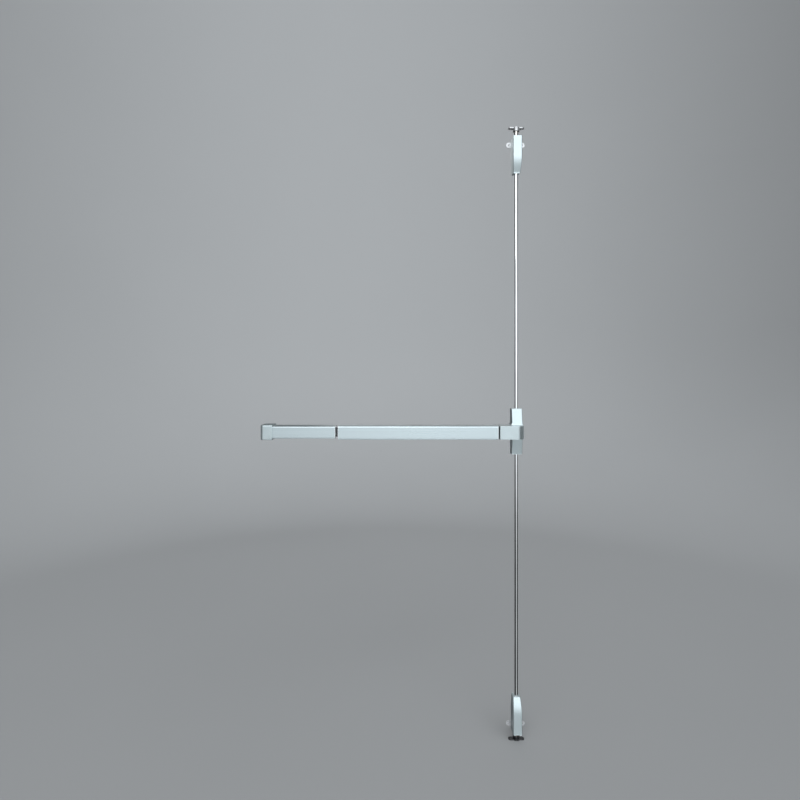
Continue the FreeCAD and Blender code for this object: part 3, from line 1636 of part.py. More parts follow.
def latch_cover(label, side):
    outer = latch_form(f"Latch{side + 2}", side, 0)
    inner = latch_form(f"LatchInside{side + 2}", side, s.latch_wall)
    wall = s.latch_wall + s.overrun
    bolt_door = slot(
        "z",
        (0, s.rod_depth / 2),
        s.rod_depth,
        latch_span(side, 0 - s.overrun, wall),
        s.bolt_radius + s.open_gap,
        "depth",
    )
    rod_door = slot(
        "z",
        (0, s.rod_depth / 2),
        s.rod_depth,
        latch_span(side, s.latch_length - wall, s.latch_length + s.overrun),
        s.rod_radius + s.open_gap,
        "depth",
    )
    notch = cylinder(
        "depth",
        (0, latch_z(side, s.notch_offset)),
        (latch_depth - s.latch_wall - s.overrun, latch_depth + s.overrun),
        s.notch_radius,
    )
    ear_doors = box(
        (0 - s.latch_width, s.latch_width),
        (0 - s.overrun, s.latch_sheet + s.snap_gap),
        latch_span(
            side,
            s.ear_offset - s.ear_half_height - s.snap_gap,
            s.ear_offset + s.ear_half_height + s.snap_gap,
        ),
    )
    centre = (s.latch_screw_depth, latch_z(side, 0 - s.latch_screw_back))
    half = s.latch_width / 2
    sink = s.small_head_radius - s.small_screw_radius
    sinks = [
        cone("x", centre, (half - sink, half), s.small_screw_radius, s.small_head_radius),
        cone("x", centre, (0 - half, sink - half), s.small_head_radius, s.small_screw_radius),
        cylinder("x", centre, past((0 - half, half)), s.small_screw_radius),
    ]
    solid = cut(outer, inner, bolt_door, rod_door, notch, ear_doors, *sinks)
    return keep(solid, label)


def latch_screws():
    """M3 countersunk screws through the sides of both latch covers."""
    screws = []
    for side in (1, -1):
        centre = (s.latch_screw_depth, latch_z(side, 0 - s.latch_screw_back))
        for end in (1, -1):
            screws.append(
                countersunk(
                    "x",
                    centre,
                    end * s.latch_width / 2,
                    -end,
                    s.latch_screw_length,
                    s.small_screw_radius,
                    s.small_head_radius,
                )
            )
    return group("latch_screws", screws)


def strike(label, side):
    """Round-ended plate with a collar that the bolt stands in."""
    reach = s.top_reach + s.header_gap if side > 0 else s.bottom_reach + s.threshold_gap
    sheet = mirrored(side, reach - s.strike_sheet, reach)
    collar_span = mirrored(side, reach - s.strike_sheet - s.strike_collar, reach)
    whole = past(collar_span)
    centre = (0, s.rod_depth)
    ear = s.strike_end_radius
    middle = box(
        (0 - s.strike_hole_pitch / 2, s.strike_hole_pitch / 2),
        (s.rod_depth - ear, s.rod_depth + ear),
        sheet,
    )
    ends = [
        cylinder("z", (end * s.strike_hole_pitch / 2, s.rod_depth), sheet, ear) for end in (1, -1)
    ]
    belly = cylinder("z", centre, sheet, s.strike_half_width + s.overrun)
    collar = cylinder("z", centre, collar_span, s.strike_half_width)
    bore = cylinder("z", centre, whole, s.bolt_radius + s.open_gap)
    holes = [
        cylinder("z", (end * s.strike_hole_pitch / 2, s.rod_depth), whole, s.strike_hole_radius)
        for end in (1, -1)
    ]
    return keep(cut(fuse(middle, *ends, belly, collar), bore, *holes), label)


# --- assembly --------------------------------------------------------------------------------------


def build():
    mounting_rail()
    rail_cover()
    rail_cover_plug()
    end_cap()
    end_bracket()
    rail_screws()
    push_pad()
    pad_end_plugs()
    pad_glides()
    pad_bumpers()
    for name, pivot in (("left", s.crank_far), ("right", s.crank_near)):
        pad_lug(f"{name}_pad_lug", pivot)
        crank_bracket(f"{name}_crank_bracket", pivot)
        crank(f"{name}_crank", pivot)
        crank_pins(f"{name}_crank_pins", pivot)
    bracket_rivets()
    crank_pivots()
    drive_link()
    yoke_rivets()
    link_yoke()
    spring_bracket()
    return_spring()
    head_chassis()
    head_case()
    cover_screws()
    lever_pivots()
    lever_clips()
    slide_guides()
    for name, side in (("upper", 1), ("lower", -1)):
        rod_cover(f"{name}_rod_cover", side)
        lever(f"{name}_lever", side)
        slide(f"{name}_slide", side)
        slide_spring(f"{name}_slide_spring", side)
        rod(f"{name}_rod", side)
        rod_plugs(f"{name}_rod_plugs", side)
        lock_nuts(f"{name}_lock_nuts", side)
    bolt_guides()
    rod_bushes()
    latch_screws()
    for name, side in (("top", 1), ("bottom", -1)):
        latch_plate(f"{name}_latch_plate", side)
        latch_cover(f"{name}_latch_cover", side)
        bolt(f"{name}_bolt", side)
        bolt_spring(f"{name}_bolt_spring", side)
        strike(f"{name}_strike", side)


def check():
    """Stops the build if any object failed or any sub-part isn't made of sound solids."""
    for item in DOC.Objects:
        if "Invalid" in item.State or "Error" in item.State:
            raise RuntimeError(f"{item.Label} failed: {item.State}")
    for item in PARTS:
        shape = item.Shape
        if shape.isNull() or not shape.isValid() or not shape.Solids:
            raise RuntimeError(f"{item.Label} has no valid solid")


def write():
    os.makedirs("parts", exist_ok=True)
    for item in PARTS:
        item.Shape.exportStep(f"parts/{item.Label}.step")


build()
DOC.recompute()
check()
write()
print(f"{len(PARTS)} sub-parts; pad {pad_travel.value:.3f}, link {2 * link_shift.value:.3f}, "
      f"lever {2 * lever_swing.value:.3f} deg, rods {rod_travel.value:.3f}")
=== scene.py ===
"""Looks of a panic exit bar: finishes, cast covers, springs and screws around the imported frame.

Metres. X runs along the bar, the door's face is the plane Y = 0 and the bar stands out towards -Y,
so the depth of a point is -Y. Z is up, with the bar's middle line at Z = 0.
"""

import json
import math

import bmesh
import bpy
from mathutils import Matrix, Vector


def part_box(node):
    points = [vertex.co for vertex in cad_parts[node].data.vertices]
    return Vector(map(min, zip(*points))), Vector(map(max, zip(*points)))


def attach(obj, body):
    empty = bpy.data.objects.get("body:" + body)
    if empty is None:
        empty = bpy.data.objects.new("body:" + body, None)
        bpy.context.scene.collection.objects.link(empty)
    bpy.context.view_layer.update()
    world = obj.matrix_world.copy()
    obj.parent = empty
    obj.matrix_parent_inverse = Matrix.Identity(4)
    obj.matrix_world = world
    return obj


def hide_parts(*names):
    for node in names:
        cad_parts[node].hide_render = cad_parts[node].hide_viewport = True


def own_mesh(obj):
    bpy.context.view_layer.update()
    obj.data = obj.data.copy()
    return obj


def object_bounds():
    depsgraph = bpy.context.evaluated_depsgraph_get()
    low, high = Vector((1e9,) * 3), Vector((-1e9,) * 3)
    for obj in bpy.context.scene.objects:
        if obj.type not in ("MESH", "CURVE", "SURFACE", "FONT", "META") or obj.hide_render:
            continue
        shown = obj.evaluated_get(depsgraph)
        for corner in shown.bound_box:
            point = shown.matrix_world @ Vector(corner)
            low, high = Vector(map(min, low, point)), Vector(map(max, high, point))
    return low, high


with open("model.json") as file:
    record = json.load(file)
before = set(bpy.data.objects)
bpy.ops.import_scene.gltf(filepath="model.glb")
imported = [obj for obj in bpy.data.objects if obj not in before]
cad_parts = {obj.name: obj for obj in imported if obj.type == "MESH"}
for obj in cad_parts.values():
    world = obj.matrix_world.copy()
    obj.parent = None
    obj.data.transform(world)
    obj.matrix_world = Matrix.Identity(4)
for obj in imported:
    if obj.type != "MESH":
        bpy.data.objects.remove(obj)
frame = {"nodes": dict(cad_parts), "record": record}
nodes = frame["nodes"]
cad_low, cad_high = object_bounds()
centre = (cad_low + cad_high) / 2
reach = (cad_high - cad_low).length / 2

MM = 0.001


# --- materials -------------------------------------------------------------------------------------


class Finish:
    """One material: a Principled shader and the node chains that feed it."""

    def __init__(self, name, **values):
        self.material = bpy.data.materials.new(name)
        self.material.use_nodes = True
        self.tree = self.material.node_tree
        self.shader = self.tree.nodes["Principled BSDF"]
        self.place = self.tree.nodes.new("ShaderNodeTexCoord").outputs["Object"]
        self.height = None
        for socket, value in values.items():
            self.shader.inputs[socket.replace("_", " ")].default_value = value

    def add(self, kind, settings=None, **sockets):
        node = self.tree.nodes.new(kind)
        for key, value in (settings or {}).items():
            setattr(node, key, value)
        for key, value in sockets.items():
            self.feed(node.inputs[key], value)
        return node

    def feed(self, socket, value):
        if isinstance(value, bpy.types.NodeSocket):
            self.tree.links.new(value, socket)
        else:
            socket.default_value = value

    def stretched(self, stretch):
        return self.add("ShaderNodeMapping", Vector=self.place, Scale=stretch).outputs[0]

    def noise(self, grain, stretch=(1, 1, 1), detail=3.0):
        """Noise whose features are about grain metres across, before stretch divides them."""
        node = self.add(
            "ShaderNodeTexNoise", Vector=self.stretched(stretch), Scale=0.5 / grain, Detail=detail
        )
        return node.outputs["Fac"]

    def cells(self, grain, output="Color"):
        """Random cells about grain metres across."""
        node = self.add("ShaderNodeTexVoronoi", Vector=self.stretched((1, 1, 1)), Scale=1 / grain)
        return node.outputs[output]

    def span(self, value, low, high, to_low=0.0, to_high=1.0):
        """value carried from low..high to to_low..to_high, and held there outside it."""
        node = self.add("ShaderNodeMapRange", {"interpolation_type": "SMOOTHSTEP"}, Value=value)
        for socket, number in zip(node.inputs[1:5], (low, high, to_low, to_high)):
            socket.default_value = number
        return node.outputs[0]

    def arithmetic(self, operation, a, b):
        node = self.add("ShaderNodeMath", {"operation": operation})
        self.feed(node.inputs[0], a)
        self.feed(node.inputs[1], b)
        return node.outputs[0]

    def times(self, a, b):
        return self.arithmetic("MULTIPLY", a, b)

    def plus(self, a, b):
        return self.arithmetic("ADD", a, b)

    def mixed(self, share, a, b):
        node = self.add("ShaderNodeMix", {"data_type": "RGBA"})
        for index, value in ((0, share), (6, a), (7, b)):
            self.feed(node.inputs[index], value)
        return node.outputs[2]

    def edges(self, radius):
        """1 along outer and inner corners, 0 on the faces between them."""
        soft = self.add("ShaderNodeBevel", {"samples": 4}, Radius=radius).outputs[0]
        plain = self.add("ShaderNodeNewGeometry").outputs["Normal"]
        turn = self.add("ShaderNodeVectorMath", {"operation": "DOT_PRODUCT"})
        self.feed(turn.inputs[0], soft)
        self.feed(turn.inputs[1], plain)
        return self.span(turn.outputs["Value"], 0.90, 0.995, 1.0, 0.0)

    def relief(self, height, depth):
        """Adds bumps of up to depth metres."""
        step = self.times(height, depth)
        self.height = step if self.height is None else self.plus(self.height, step)

    def done(self, colour, roughness):
        self.feed(self.shader.inputs["Base Color"], colour)
        self.feed(self.shader.inputs["Roughness"], roughness)
        if self.height is not None:
            bump = self.add("ShaderNodeBump", Height=self.height, Distance=1.0, Strength=1.0)
            self.feed(self.shader.inputs["Normal"], bump.outputs[0])
        return self.material


def shade(colour, factor):
    """An RGBA colour, factor times as bright."""
    return (*[min(1.0, c * factor) for c in colour], 1.0)


def silver_extrusion():
    """Satin silver coat over a drawn profile: streaks along X, fine grain, hand-worn and scuffed, with a
    painted highlight along every edge.
    """
    silver = (0.445, 0.51, 0.53)
    f = Finish("silver_extrusion", Metallic=0.82, Coat_Weight=0.12, Coat_Roughness=0.3)
    streaks = f.noise(3.5 * MM, (0.0015, 1, 1), 2)
    lines = f.noise(0.5 * MM, (0.0015, 1, 1), 1)
    grain = f.noise(0.35 * MM, detail=1)
    clouds = f.noise(60 * MM, (0.5, 1, 1), 3)
    scuffs = f.span(f.noise(1.6 * MM, (0.03, 1, 1), 3), 0.68, 0.78)
    tone = f.mixed(f.span(streaks, 0.3, 0.7), shade(silver, 0.965), shade(silver, 1.035))
    tone = f.mixed(f.span(grain, 0.35, 0.7, 0, 0.35), tone, shade(silver, 1.22))
    tone = f.mixed(f.times(scuffs, 0.2), tone, shade(silver, 0.75))
    # painted highlight: every edge of the profile is painted much lighter
    tone = f.mixed(f.edges(2.6 * MM), tone, shade(silver, 2.2))
    rough = f.plus(f.span(clouds, 0.3, 0.7, 0.26, 0.33), f.span(lines, 0.2, 0.8, -0.02, 0.03))
    rough = f.plus(rough, f.times(scuffs, 0.06))
    f.relief(lines, 0.004 * MM)
    f.relief(grain, 0.012 * MM)
    return f.done(tone, rough)


def silver_casting():
    """The same coat on a casting: slight orange peel, denser flake with a painted glint, dust-dulled
    patches, and a painted highlight along every edge.
    """
    silver = (0.455, 0.52, 0.535)
    f = Finish("silver_casting", Metallic=0.78, Coat_Weight=0.12, Coat_Roughness=0.35)
    peel = f.noise(2.4 * MM, detail=2)
    flake = f.cells(0.28 * MM)
    clouds = f.noise(28 * MM, detail=4)
    rubs = f.span(f.noise(3.5 * MM, (1, 1, 0.2), 5), 0.64, 0.75)
    glint = f.add("ShaderNodeSeparateColor", Color=flake).outputs[0]
    tone = f.mixed(f.span(clouds, 0.3, 0.75), shade(silver, 0.93), shade(silver, 1.06))
    # painted glint: random flake cells are painted lighter
    tone = f.mixed(f.span(glint, 0.4, 1.0, 0, 0.4), tone, shade(silver, 1.25))
    tone = f.mixed(f.times(rubs, 0.3), tone, shade(silver, 0.74))
    # painted highlight: every edge of the casting is painted lighter
    tone = f.mixed(f.times(f.edges(2.2 * MM), 0.8), tone, shade(silver, 1.9))
    rough = f.plus(f.span(clouds, 0.25, 0.75, 0.28, 0.38), f.times(rubs, 0.12))
    f.relief(peel, 0.05 * MM)
    f.relief(glint, 0.008 * MM)
    return f.done(tone, rough)


def plain_aluminium():
    """Mill-finish rail: die lines along X, darker oxide bloom."""
    metal = (0.50, 0.51, 0.53)
    f = Finish("plain_aluminium", Metallic=1.0)
    die = f.noise(1.2 * MM, (0.006, 1, 1), 3)
    bloom = f.noise(25 * MM, (0.4, 1, 1), 5)
    pits = f.span(f.cells(1.6 * MM, "Distance"), 0.0, 0.16, 1, 0)
    tone = f.mixed(f.span(bloom, 0.3, 0.7), shade(metal, 0.8), shade(metal, 1.08))
    tone = f.mixed(f.times(pits, 0.25), tone, shade(metal, 0.5))
    # painted highlight: every edge of the rail is painted lighter
    tone = f.mixed(f.times(f.edges(0.8 * MM), 0.4), tone, shade(metal, 1.5))
    rough = f.plus(f.span(bloom, 0.3, 0.7, 0.3, 0.42), f.span(die, 0.3, 0.7, -0.05, 0.05))
    f.relief(die, 0.015 * MM)
    return f.done(tone, rough)


def polished_steel():
    """Bright ground tube: rings across the length, faint smudges and rub marks along it."""
    metal = (0.86, 0.87, 0.88)
    f = Finish("polished_steel", Metallic=1.0)
    rings = f.noise(0.7 * MM, (0.02, 0.02, 1), 3)
    bands = f.noise(60 * MM, (0.1, 0.1, 1), 3)
    smudge = f.noise(14 * MM, (1, 1, 0.35), 4)
    rubs = f.span(f.noise(1.2 * MM, (1, 1, 0.02), 4), 0.62, 0.72)
    tone = f.mixed(f.span(bands, 0.3, 0.7), shade(metal, 0.94), shade(metal, 1.05))
    tone = f.mixed(f.times(rubs, 0.3), tone, shade(metal, 0.7))
    rough = f.plus(f.span(smudge, 0.35, 0.7, 0.04, 0.10), f.times(rubs, 0.08))
    rough = f.plus(rough, f.span(rings, 0.3, 0.7, -0.02, 0.03))
    f.relief(rings, 0.002 * MM)
    return f.done(tone, rough)


def bolt_steel():
    """Turned and hardened steel: tool rings, sliding marks along Z, straw-brown heat tint."""
    metal = (0.56, 0.555, 0.55)
    f = Finish("bolt_steel", Metallic=1.0)
    rings = f.noise(0.5 * MM, (0.02, 0.02, 1), 2)
    slides = f.span(f.noise(0.8 * MM, (1, 1, 0.04), 4), 0.55, 0.72)
    tint = f.noise(9 * MM, detail=4)
    tone = f.mixed(f.span(tint, 0.35, 0.7), shade(metal, 1.05), shade((0.45, 0.41, 0.36), 1.0))
    tone = f.mixed(f.times(slides, 0.4), tone, shade(metal, 1.35))
    # painted highlight: every edge of the bolt is painted lighter
    tone = f.mixed(f.times(f.edges(0.7 * MM), 0.6), tone, shade(metal, 1.5))
    rough = f.plus(f.span(tint, 0.3, 0.7, 0.2, 0.32), f.span(rings, 0.3, 0.7, -0.04, 0.05))
    f.relief(rings, 0.01 * MM)
    return f.done(tone, rough)


def screw_steel():
    """Bright zinc-plated screws, with plating bloom and a painted highlight along every edge."""
    metal = (0.58, 0.585, 0.60)
    f = Finish("screw_steel", Metallic=1.0)
    bloom = f.noise(1.5 * MM, detail=4)
    grit = f.noise(0.2 * MM, detail=2)
    tone = f.mixed(f.span(bloom, 0.3, 0.7), shade(metal, 0.82), shade(metal, 1.1))
    # painted highlight: every edge of the screws is painted lighter
    tone = f.mixed(f.times(f.edges(0.3 * MM), 0.5), tone, shade(metal, 1.5))
    rough = f.plus(f.span(bloom, 0.3, 0.7, 0.2, 0.34), f.span(grit, 0.3, 0.7, -0.03, 0.05))
    f.relief(grit, 0.006 * MM)
    return f.done(tone, rough)


def spring_steel():
    """Oiled spring wire: drawn surface with dark scale left between rubbed patches."""
    metal = (0.34, 0.34, 0.35)
    f = Finish("spring_steel", Metallic=0.95)
    scale = f.noise(1.8 * MM, detail=5)
    drawn = f.noise(0.15 * MM, detail=2)
    tone = f.mixed(f.span(scale, 0.4, 0.62), shade(metal, 0.55), shade(metal, 1.25))
    rough = f.plus(f.span(scale, 0.4, 0.62, 0.45, 0.26), f.span(drawn, 0.3, 0.7, -0.03, 0.04))
    f.relief(drawn, 0.004 * MM)
    return f.done(tone, rough)


def zinc_steel():
    """Pressed steel with clear zinc: crystal spangle, pale blue and straw passivation tints."""
    metal = (0.54, 0.56, 0.575)
    f = Finish("zinc_steel", Metallic=1.0)
    spangle = f.cells(5 * MM)
    facet = f.add("ShaderNodeSeparateColor", Color=spangle).outputs[0]
    tint = f.noise(14 * MM, detail=3)
    strokes = f.noise(0.6 * MM, (0.1, 1, 1), 3)
    tone = f.mixed(f.span(facet, 0.0, 1.0), shade(metal, 0.85), shade(metal, 1.12))
    tone = f.mixed(f.span(tint, 0.52, 0.7, 0, 0.5), tone, shade((0.62, 0.57, 0.42), 1.0))
    tone = f.mixed(f.span(tint, 0.48, 0.3, 0, 0.5), tone, shade((0.46, 0.55, 0.66), 1.0))
    # painted highlight: every edge of the pressed steel is painted lighter
    tone = f.mixed(f.times(f.edges(0.6 * MM), 0.4), tone, shade(metal, 1.4))
    rough = f.plus(f.span(facet, 0.0, 1.0, 0.24, 0.38), f.span(strokes, 0.3, 0.7, -0.03, 0.04))
    f.relief(strokes, 0.008 * MM)
    return f.done(tone, rough)


def grey_steel():
    """Grey-coated plate: fine grain, chipped lighter at the edges."""
    paint = (0.50, 0.51, 0.52)
    f = Finish("grey_steel", Metallic=0.7)
    grain = f.noise(0.5 * MM, detail=3)
    clouds = f.noise(12 * MM, detail=4)
    chips = f.times(f.edges(0.9 * MM), f.span(f.noise(1.4 * MM, detail=4), 0.4, 0.6))
    tone = f.mixed(f.span(clouds, 0.3, 0.7), shade(paint, 0.85), shade(paint, 1.12))
    tone = f.mixed(chips, tone, (0.80, 0.81, 0.82, 1))
    rough = f.plus(f.span(clouds, 0.3, 0.7, 0.28, 0.4), f.times(chips, -0.08))
    f.relief(grain, 0.02 * MM)
    return f.done(tone, rough)


def dark_steel():
    """Blackened plate at the threshold: worn bright at the edges, dusty in the middle."""
    f = Finish("dark_steel", Metallic=0.55)
    grain = f.noise(0.6 * MM, detail=3)
    dust = f.noise(9 * MM, detail=5)
    worn = f.times(f.edges(1.0 * MM), f.span(f.noise(1.6 * MM, detail=4), 0.35, 0.6))
    rubs = f.span(f.noise(1.5 * MM, (0.1, 1, 1), 4), 0.66, 0.76)
    tone = f.mixed(f.span(dust, 0.45, 0.75, 0, 0.5), (0.018, 0.019, 0.021, 1), (0.07, 0.066, 0.06, 1))
    tone = f.mixed(f.times(rubs, 0.6), tone, (0.24, 0.24, 0.25, 1))
    tone = f.mixed(worn, tone, (0.46, 0.46, 0.47, 1))
    rough = f.plus(f.span(dust, 0.3, 0.7, 0.3, 0.55), f.times(worn, -0.12))
    f.relief(grain, 0.03 * MM)
    return f.done(tone, rough)


def black_nylon():
    """Moulded nylon: spark-eroded grain, faint flow marks, edges painted paler as a sheen."""
    f = Finish("black_nylon", Metallic=0.0, Specular_IOR_Level=0.2)
    grain = f.noise(0.4 * MM, detail=2)
    flow = f.noise(10 * MM, (0.3, 1, 1), 4)
    tone = f.mixed(f.span(flow, 0.3, 0.7), (0.007, 0.007, 0.008, 1), (0.018, 0.018, 0.019, 1))
    # painted sheen: every edge of the nylon is painted paler
    tone = f.mixed(f.times(f.edges(0.6 * MM), 0.6), tone, (0.085, 0.085, 0.09, 1))
    rough = f.plus(f.span(flow, 0.3, 0.7, 0.42, 0.55), f.span(grain, 0.3, 0.7, -0.04, 0.06))
    f.relief(grain, 0.03 * MM)
    return f.done(tone, rough)


def black_rubber():
    """Moulded rubber: matt, with bloom and fine pits."""
    f = Finish("black_rubber", Metallic=0.0, Specular_IOR_Level=0.3)
    pits = f.noise(0.5 * MM, detail=3)
    bloom = f.noise(5 * MM, detail=4)
    tone = f.mixed(f.span(bloom, 0.4, 0.7), (0.014, 0.014, 0.014, 1), (0.05, 0.05, 0.052, 1))
    rough = f.span(bloom, 0.3, 0.7, 0.72, 0.9)
    f.relief(pits, 0.05 * MM)
    return f.done(tone, rough)


FINISHES = {
    make.__name__: make()
    for make in (
        silver_extrusion,
        silver_casting,
        plain_aluminium,
        polished_steel,
        bolt_steel,
        screw_steel,
        spring_steel,
        zinc_steel,
        grey_steel,
        dark_steel,
        black_nylon,
        black_rubber,
    )
}


def slot_of(node):
    """The material slot that the record gives a CAD node."""
    for part in frame["record"]["subparts"]:
        if part["node"] == node:
            return part["material_slot"]
    raise KeyError(node)


for name, obj in nodes.items():
    obj.data.materials.clear()
    obj.data.materials.append(FINISHES[slot_of(name)])


# --- mesh pieces -----------------------------------------------------------------------------------


def closed_form(name, vertices, faces):
    """A mesh object in the scene, with all its faces turned outwards."""
    mesh = bpy.data.meshes.new(name)
    mesh.from_pydata([Vector(v) for v in vertices], [], faces)
    bm = bmesh.new()
    bm.from_mesh(mesh)
    bmesh.ops.recalc_face_normals(bm, faces=bm.faces)
    bm.to_mesh(mesh)
    bm.free()
    obj = bpy.data.objects.new(name, mesh)
    bpy.context.scene.collection.objects.link(obj)
    return obj


def smooth_up_to(mesh, degrees):
    """Shades a mesh smooth, apart from edges that turn by more than this."""
    mesh.shade_smooth()
    mesh.set_sharp_from_angle(angle=math.radians(degrees))


def piece(name, vertices, faces, body, slot, smooth=35):
    """A new shown mesh that rides on a body and takes its finish from a slot."""
    obj = closed_form(name, vertices, faces)
    smooth_up_to(obj.data, smooth)
    obj.data.materials.append(FINISHES[slot])
    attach(obj, body)
    return obj


def quarter(steps):
    """Angles from 0 to a quarter turn."""
    return [math.pi / 2 * k / steps for k in range(steps + 1)]


def lofted(rings):
    """Vertices and faces of a closed skin over rings of equal length, capped at both ends."""
    count = len(rings[0])
    vertices = [v for ring in rings for v in ring]
    faces = [tuple(range(count))[::-1]]
    for k in range(len(rings) - 1):
        low, high = k * count, (k + 1) * count
        for i in range(count):
            j = (i + 1) % count
            faces.append((low + i, low + j, high + j, high + i))
    faces.append(tuple(range((len(rings) - 1) * count, len(rings) * count)))
    return vertices, faces


def lowest_corner(points):
    """The low corner of the points' box, to a hundredth of a millimetre."""
    return tuple(round(min(p[i] for p in points), 5) for i in range(3))


def islands(node):
    """The separate solids of a CAD node, each as a list of its points, in order of place."""
    bm = bmesh.new()
    bm.from_mesh(nodes[node].data)
    bmesh.ops.remove_doubles(bm, verts=bm.verts, dist=1e-6)
    seen = set()
    found = []
    for first in bm.verts:
        if first in seen:
            continue
        seen.add(first)
        queue, points = [first], []
        while queue:
            vertex = queue.pop()
            points.append(vertex.co.copy())
            for edge in vertex.link_edges:
                other = edge.other_vert(vertex)
                if other not in seen:
                    seen.add(other)
                    queue.append(other)
        found.append(points)
    bm.free()
    return sorted(found, key=lowest_corner)


def wire_spring(node, body, axis, wire, turns):
    """A compression spring with closed ends inside the box of a CAD spring."""
    low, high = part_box(node)
    middle = (low + high) / 2
    across = [i for i in range(3) if i != axis]
    coil = min(high[i] - low[i] for i in across) / 2 - wire
    length = high[axis] - low[axis] - 2 * wire
    closed, steps, around = 1.1, 40, 14  # turns closed at each end; steps per turn; points round the wire
    closed_pitch = 2.04 * wire  # closed turns lie just clear of each other
    ground, grinding = 0.35, 4  # the wire is flattened to this share at its ends, and fills out this fast
    total = turns + 2 * closed
    free = length - 2 * closed * closed_pitch

    def along(turn):
        if turn < closed:
            return turn * closed_pitch
        if turn > total - closed:
            return length - (total - turn) * closed_pitch
        return closed * closed_pitch + (turn - closed) / turns * free

    rings = []
    count = int(total * steps)
    for k in range(count + 1):
        turn = total * k / count
        angle = turn * 2 * math.pi
        taper = min(1.0, ground + grinding * min(turn, total - turn))
        ring = []
        for i in range(around):
            phi = 2 * math.pi * i / around
            radius = coil + wire * math.cos(phi)
            spot = [0.0, 0.0, 0.0]
            spot[axis] = low[axis] + wire + along(turn) + wire * taper * math.sin(phi)
            spot[across[0]] = middle[across[0]] + radius * math.cos(angle)
            spot[across[1]] = middle[across[1]] + radius * math.sin(angle)
            ring.append(spot)
        rings.append(ring)
    obj = piece(f"{node}_coil", *lofted(rings), body, "spring_steel", 60)
    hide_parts(node)
    return obj


def shorten(obj, node, axis, fixed):
    """Gives a spring its own mesh and finds its fixed end (-1 low, +1 high), but does not squash it."""
    low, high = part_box(node)
    anchor = (low + high) / 2
    anchor[axis] = high[axis] if fixed > 0 else low[axis]
    direction = Vector((0, 0, 0))
    direction[axis] = 1
    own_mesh(obj)


def springs():
    """The link's return spring, two slide springs and two bolt springs."""
    x, z = 0, 2
    for node, axis, wire, turns, fixed, joint in (
        ("return_spring", x, 0.9 * MM, 6, -1, "link_draw"),
        ("upper_slide_spring", z, 0.7 * MM, 5, -1, "upper_rod_draw"),
        ("lower_slide_spring", z, 0.7 * MM, 5, 1, "lower_rod_draw"),
        ("top_bolt_spring", z, 0.8 * MM, 6, -1, "upper_rod_draw"),
        ("bottom_bolt_spring", z, 0.8 * MM, 6, 1, "lower_rod_draw"),
    ):
        obj = wire_spring(node, "door_unit", axis, wire, turns)
        shorten(obj, node, axis, fixed)


def cross_radius(angle, arm, wing):
    """Distance from the middle to the edge of a cross with arms 2 * wing wide."""
    c, s = max(abs(math.cos(angle)), 1e-6), max(abs(math.sin(angle)), 1e-6)
    return max(min(arm / c, wing / s), min(wing / c, arm / s))


def screw_rings(length, shank, head):
    """Rings (angle, radius, drop below the face) of a countersunk screw with a cross recess."""
    arm, wing, recess = head * 0.56, head * 0.13, head * 0.5
    pitch, point, plain = 0.6 * MM, 0.4 * MM, 0.8 * MM
    around = 48
    corner = math.atan2(wing, arm)
    angles = sorted(
        [2 * math.pi * k / around for k in range(around)]
        + [q * math.pi / 2 + side * corner for q in range(4) for side in (1, -1)]
    )
    neck = head - shank

    def round_ring(radius, drop):
        return [(a, radius, drop) for a in angles]

    def cross_ring(share, drop):
        return [(a, share * cross_radius(a, arm, wing), drop) for a in angles]

    rings = [round_ring(shank * 0.45, length), round_ring(shank * 0.9, length - point)]
    for k in range(int((length - neck - plain) / pitch)):
        crest = length - pitch - k * pitch
        rings.append(round_ring(shank * 0.98, crest))
        rings.append(round_ring(shank * 0.82, crest - pitch / 2))
    rings.append(round_ring(shank * 0.97, neck))
    for share, drop in ((0.955, 0.16 * MM), (0.965, 0.08 * MM), (0.94, 0.01 * MM), (0.80, 0.0)):
        rings.append(round_ring(head * share, drop))
    for share, drop in ((1.06, 0.0), (0.98, 0.12 * MM), (0.62, recess)):
        rings.append(cross_ring(share, drop))
    return rings


def cross_screws(node):
    """Countersunk screws with a cross recess, where the CAD node has plain ones."""
    first_turn, next_turn = 0.3, 0.9  # radians that the recesses are turned by, from screw to screw
    vertices, faces = [], []
    for number, points in enumerate(islands(node)):
        low = Vector([min(p[i] for p in points) for i in range(3)])
        high = Vector([max(p[i] for p in points) for i in range(3)])
        size, middle = high - low, (low + high) / 2
        axis = min(range(3), key=lambda i: abs(size[(i + 1) % 3] - size[(i + 2) % 3]))
        u, v = (axis + 1) % 3, (axis + 2) % 3

        def radius_at(end):
            near = [p for p in points if abs(p[axis] - end) < 0.01 * MM]
            return max(math.hypot(p[u] - middle[u], p[v] - middle[v]) for p in near)

        at_low, at_high = radius_at(low[axis]), radius_at(high[axis])
        face = high[axis] if at_high > at_low else low[axis]
        inward = -1 if at_high > at_low else 1
        turn = next_turn * number + first_turn
        rings = []
        for ring in screw_rings(size[axis], min(at_low, at_high), max(at_low, at_high)):
            spots = []
            for angle, radius, drop in ring:
                spot = [0.0, 0.0, 0.0]
                spot[axis] = face + inward * drop
                spot[u] = middle[u] + radius * math.cos(angle + turn)
                spot[v] = middle[v] + radius * math.sin(angle + turn)
                spots.append(spot)
            rings.append(spots)
        more_vertices, more_faces = lofted(rings)
        start = len(vertices)
        vertices += more_vertices
        faces += [tuple(start + i for i in face_points) for face_points in more_faces]
    obj = piece(f"{node}_heads", vertices, faces, "door_unit", "screw_steel", 30)
    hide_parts(node)


# --- cast covers -----------------------------------------------------------------------------------


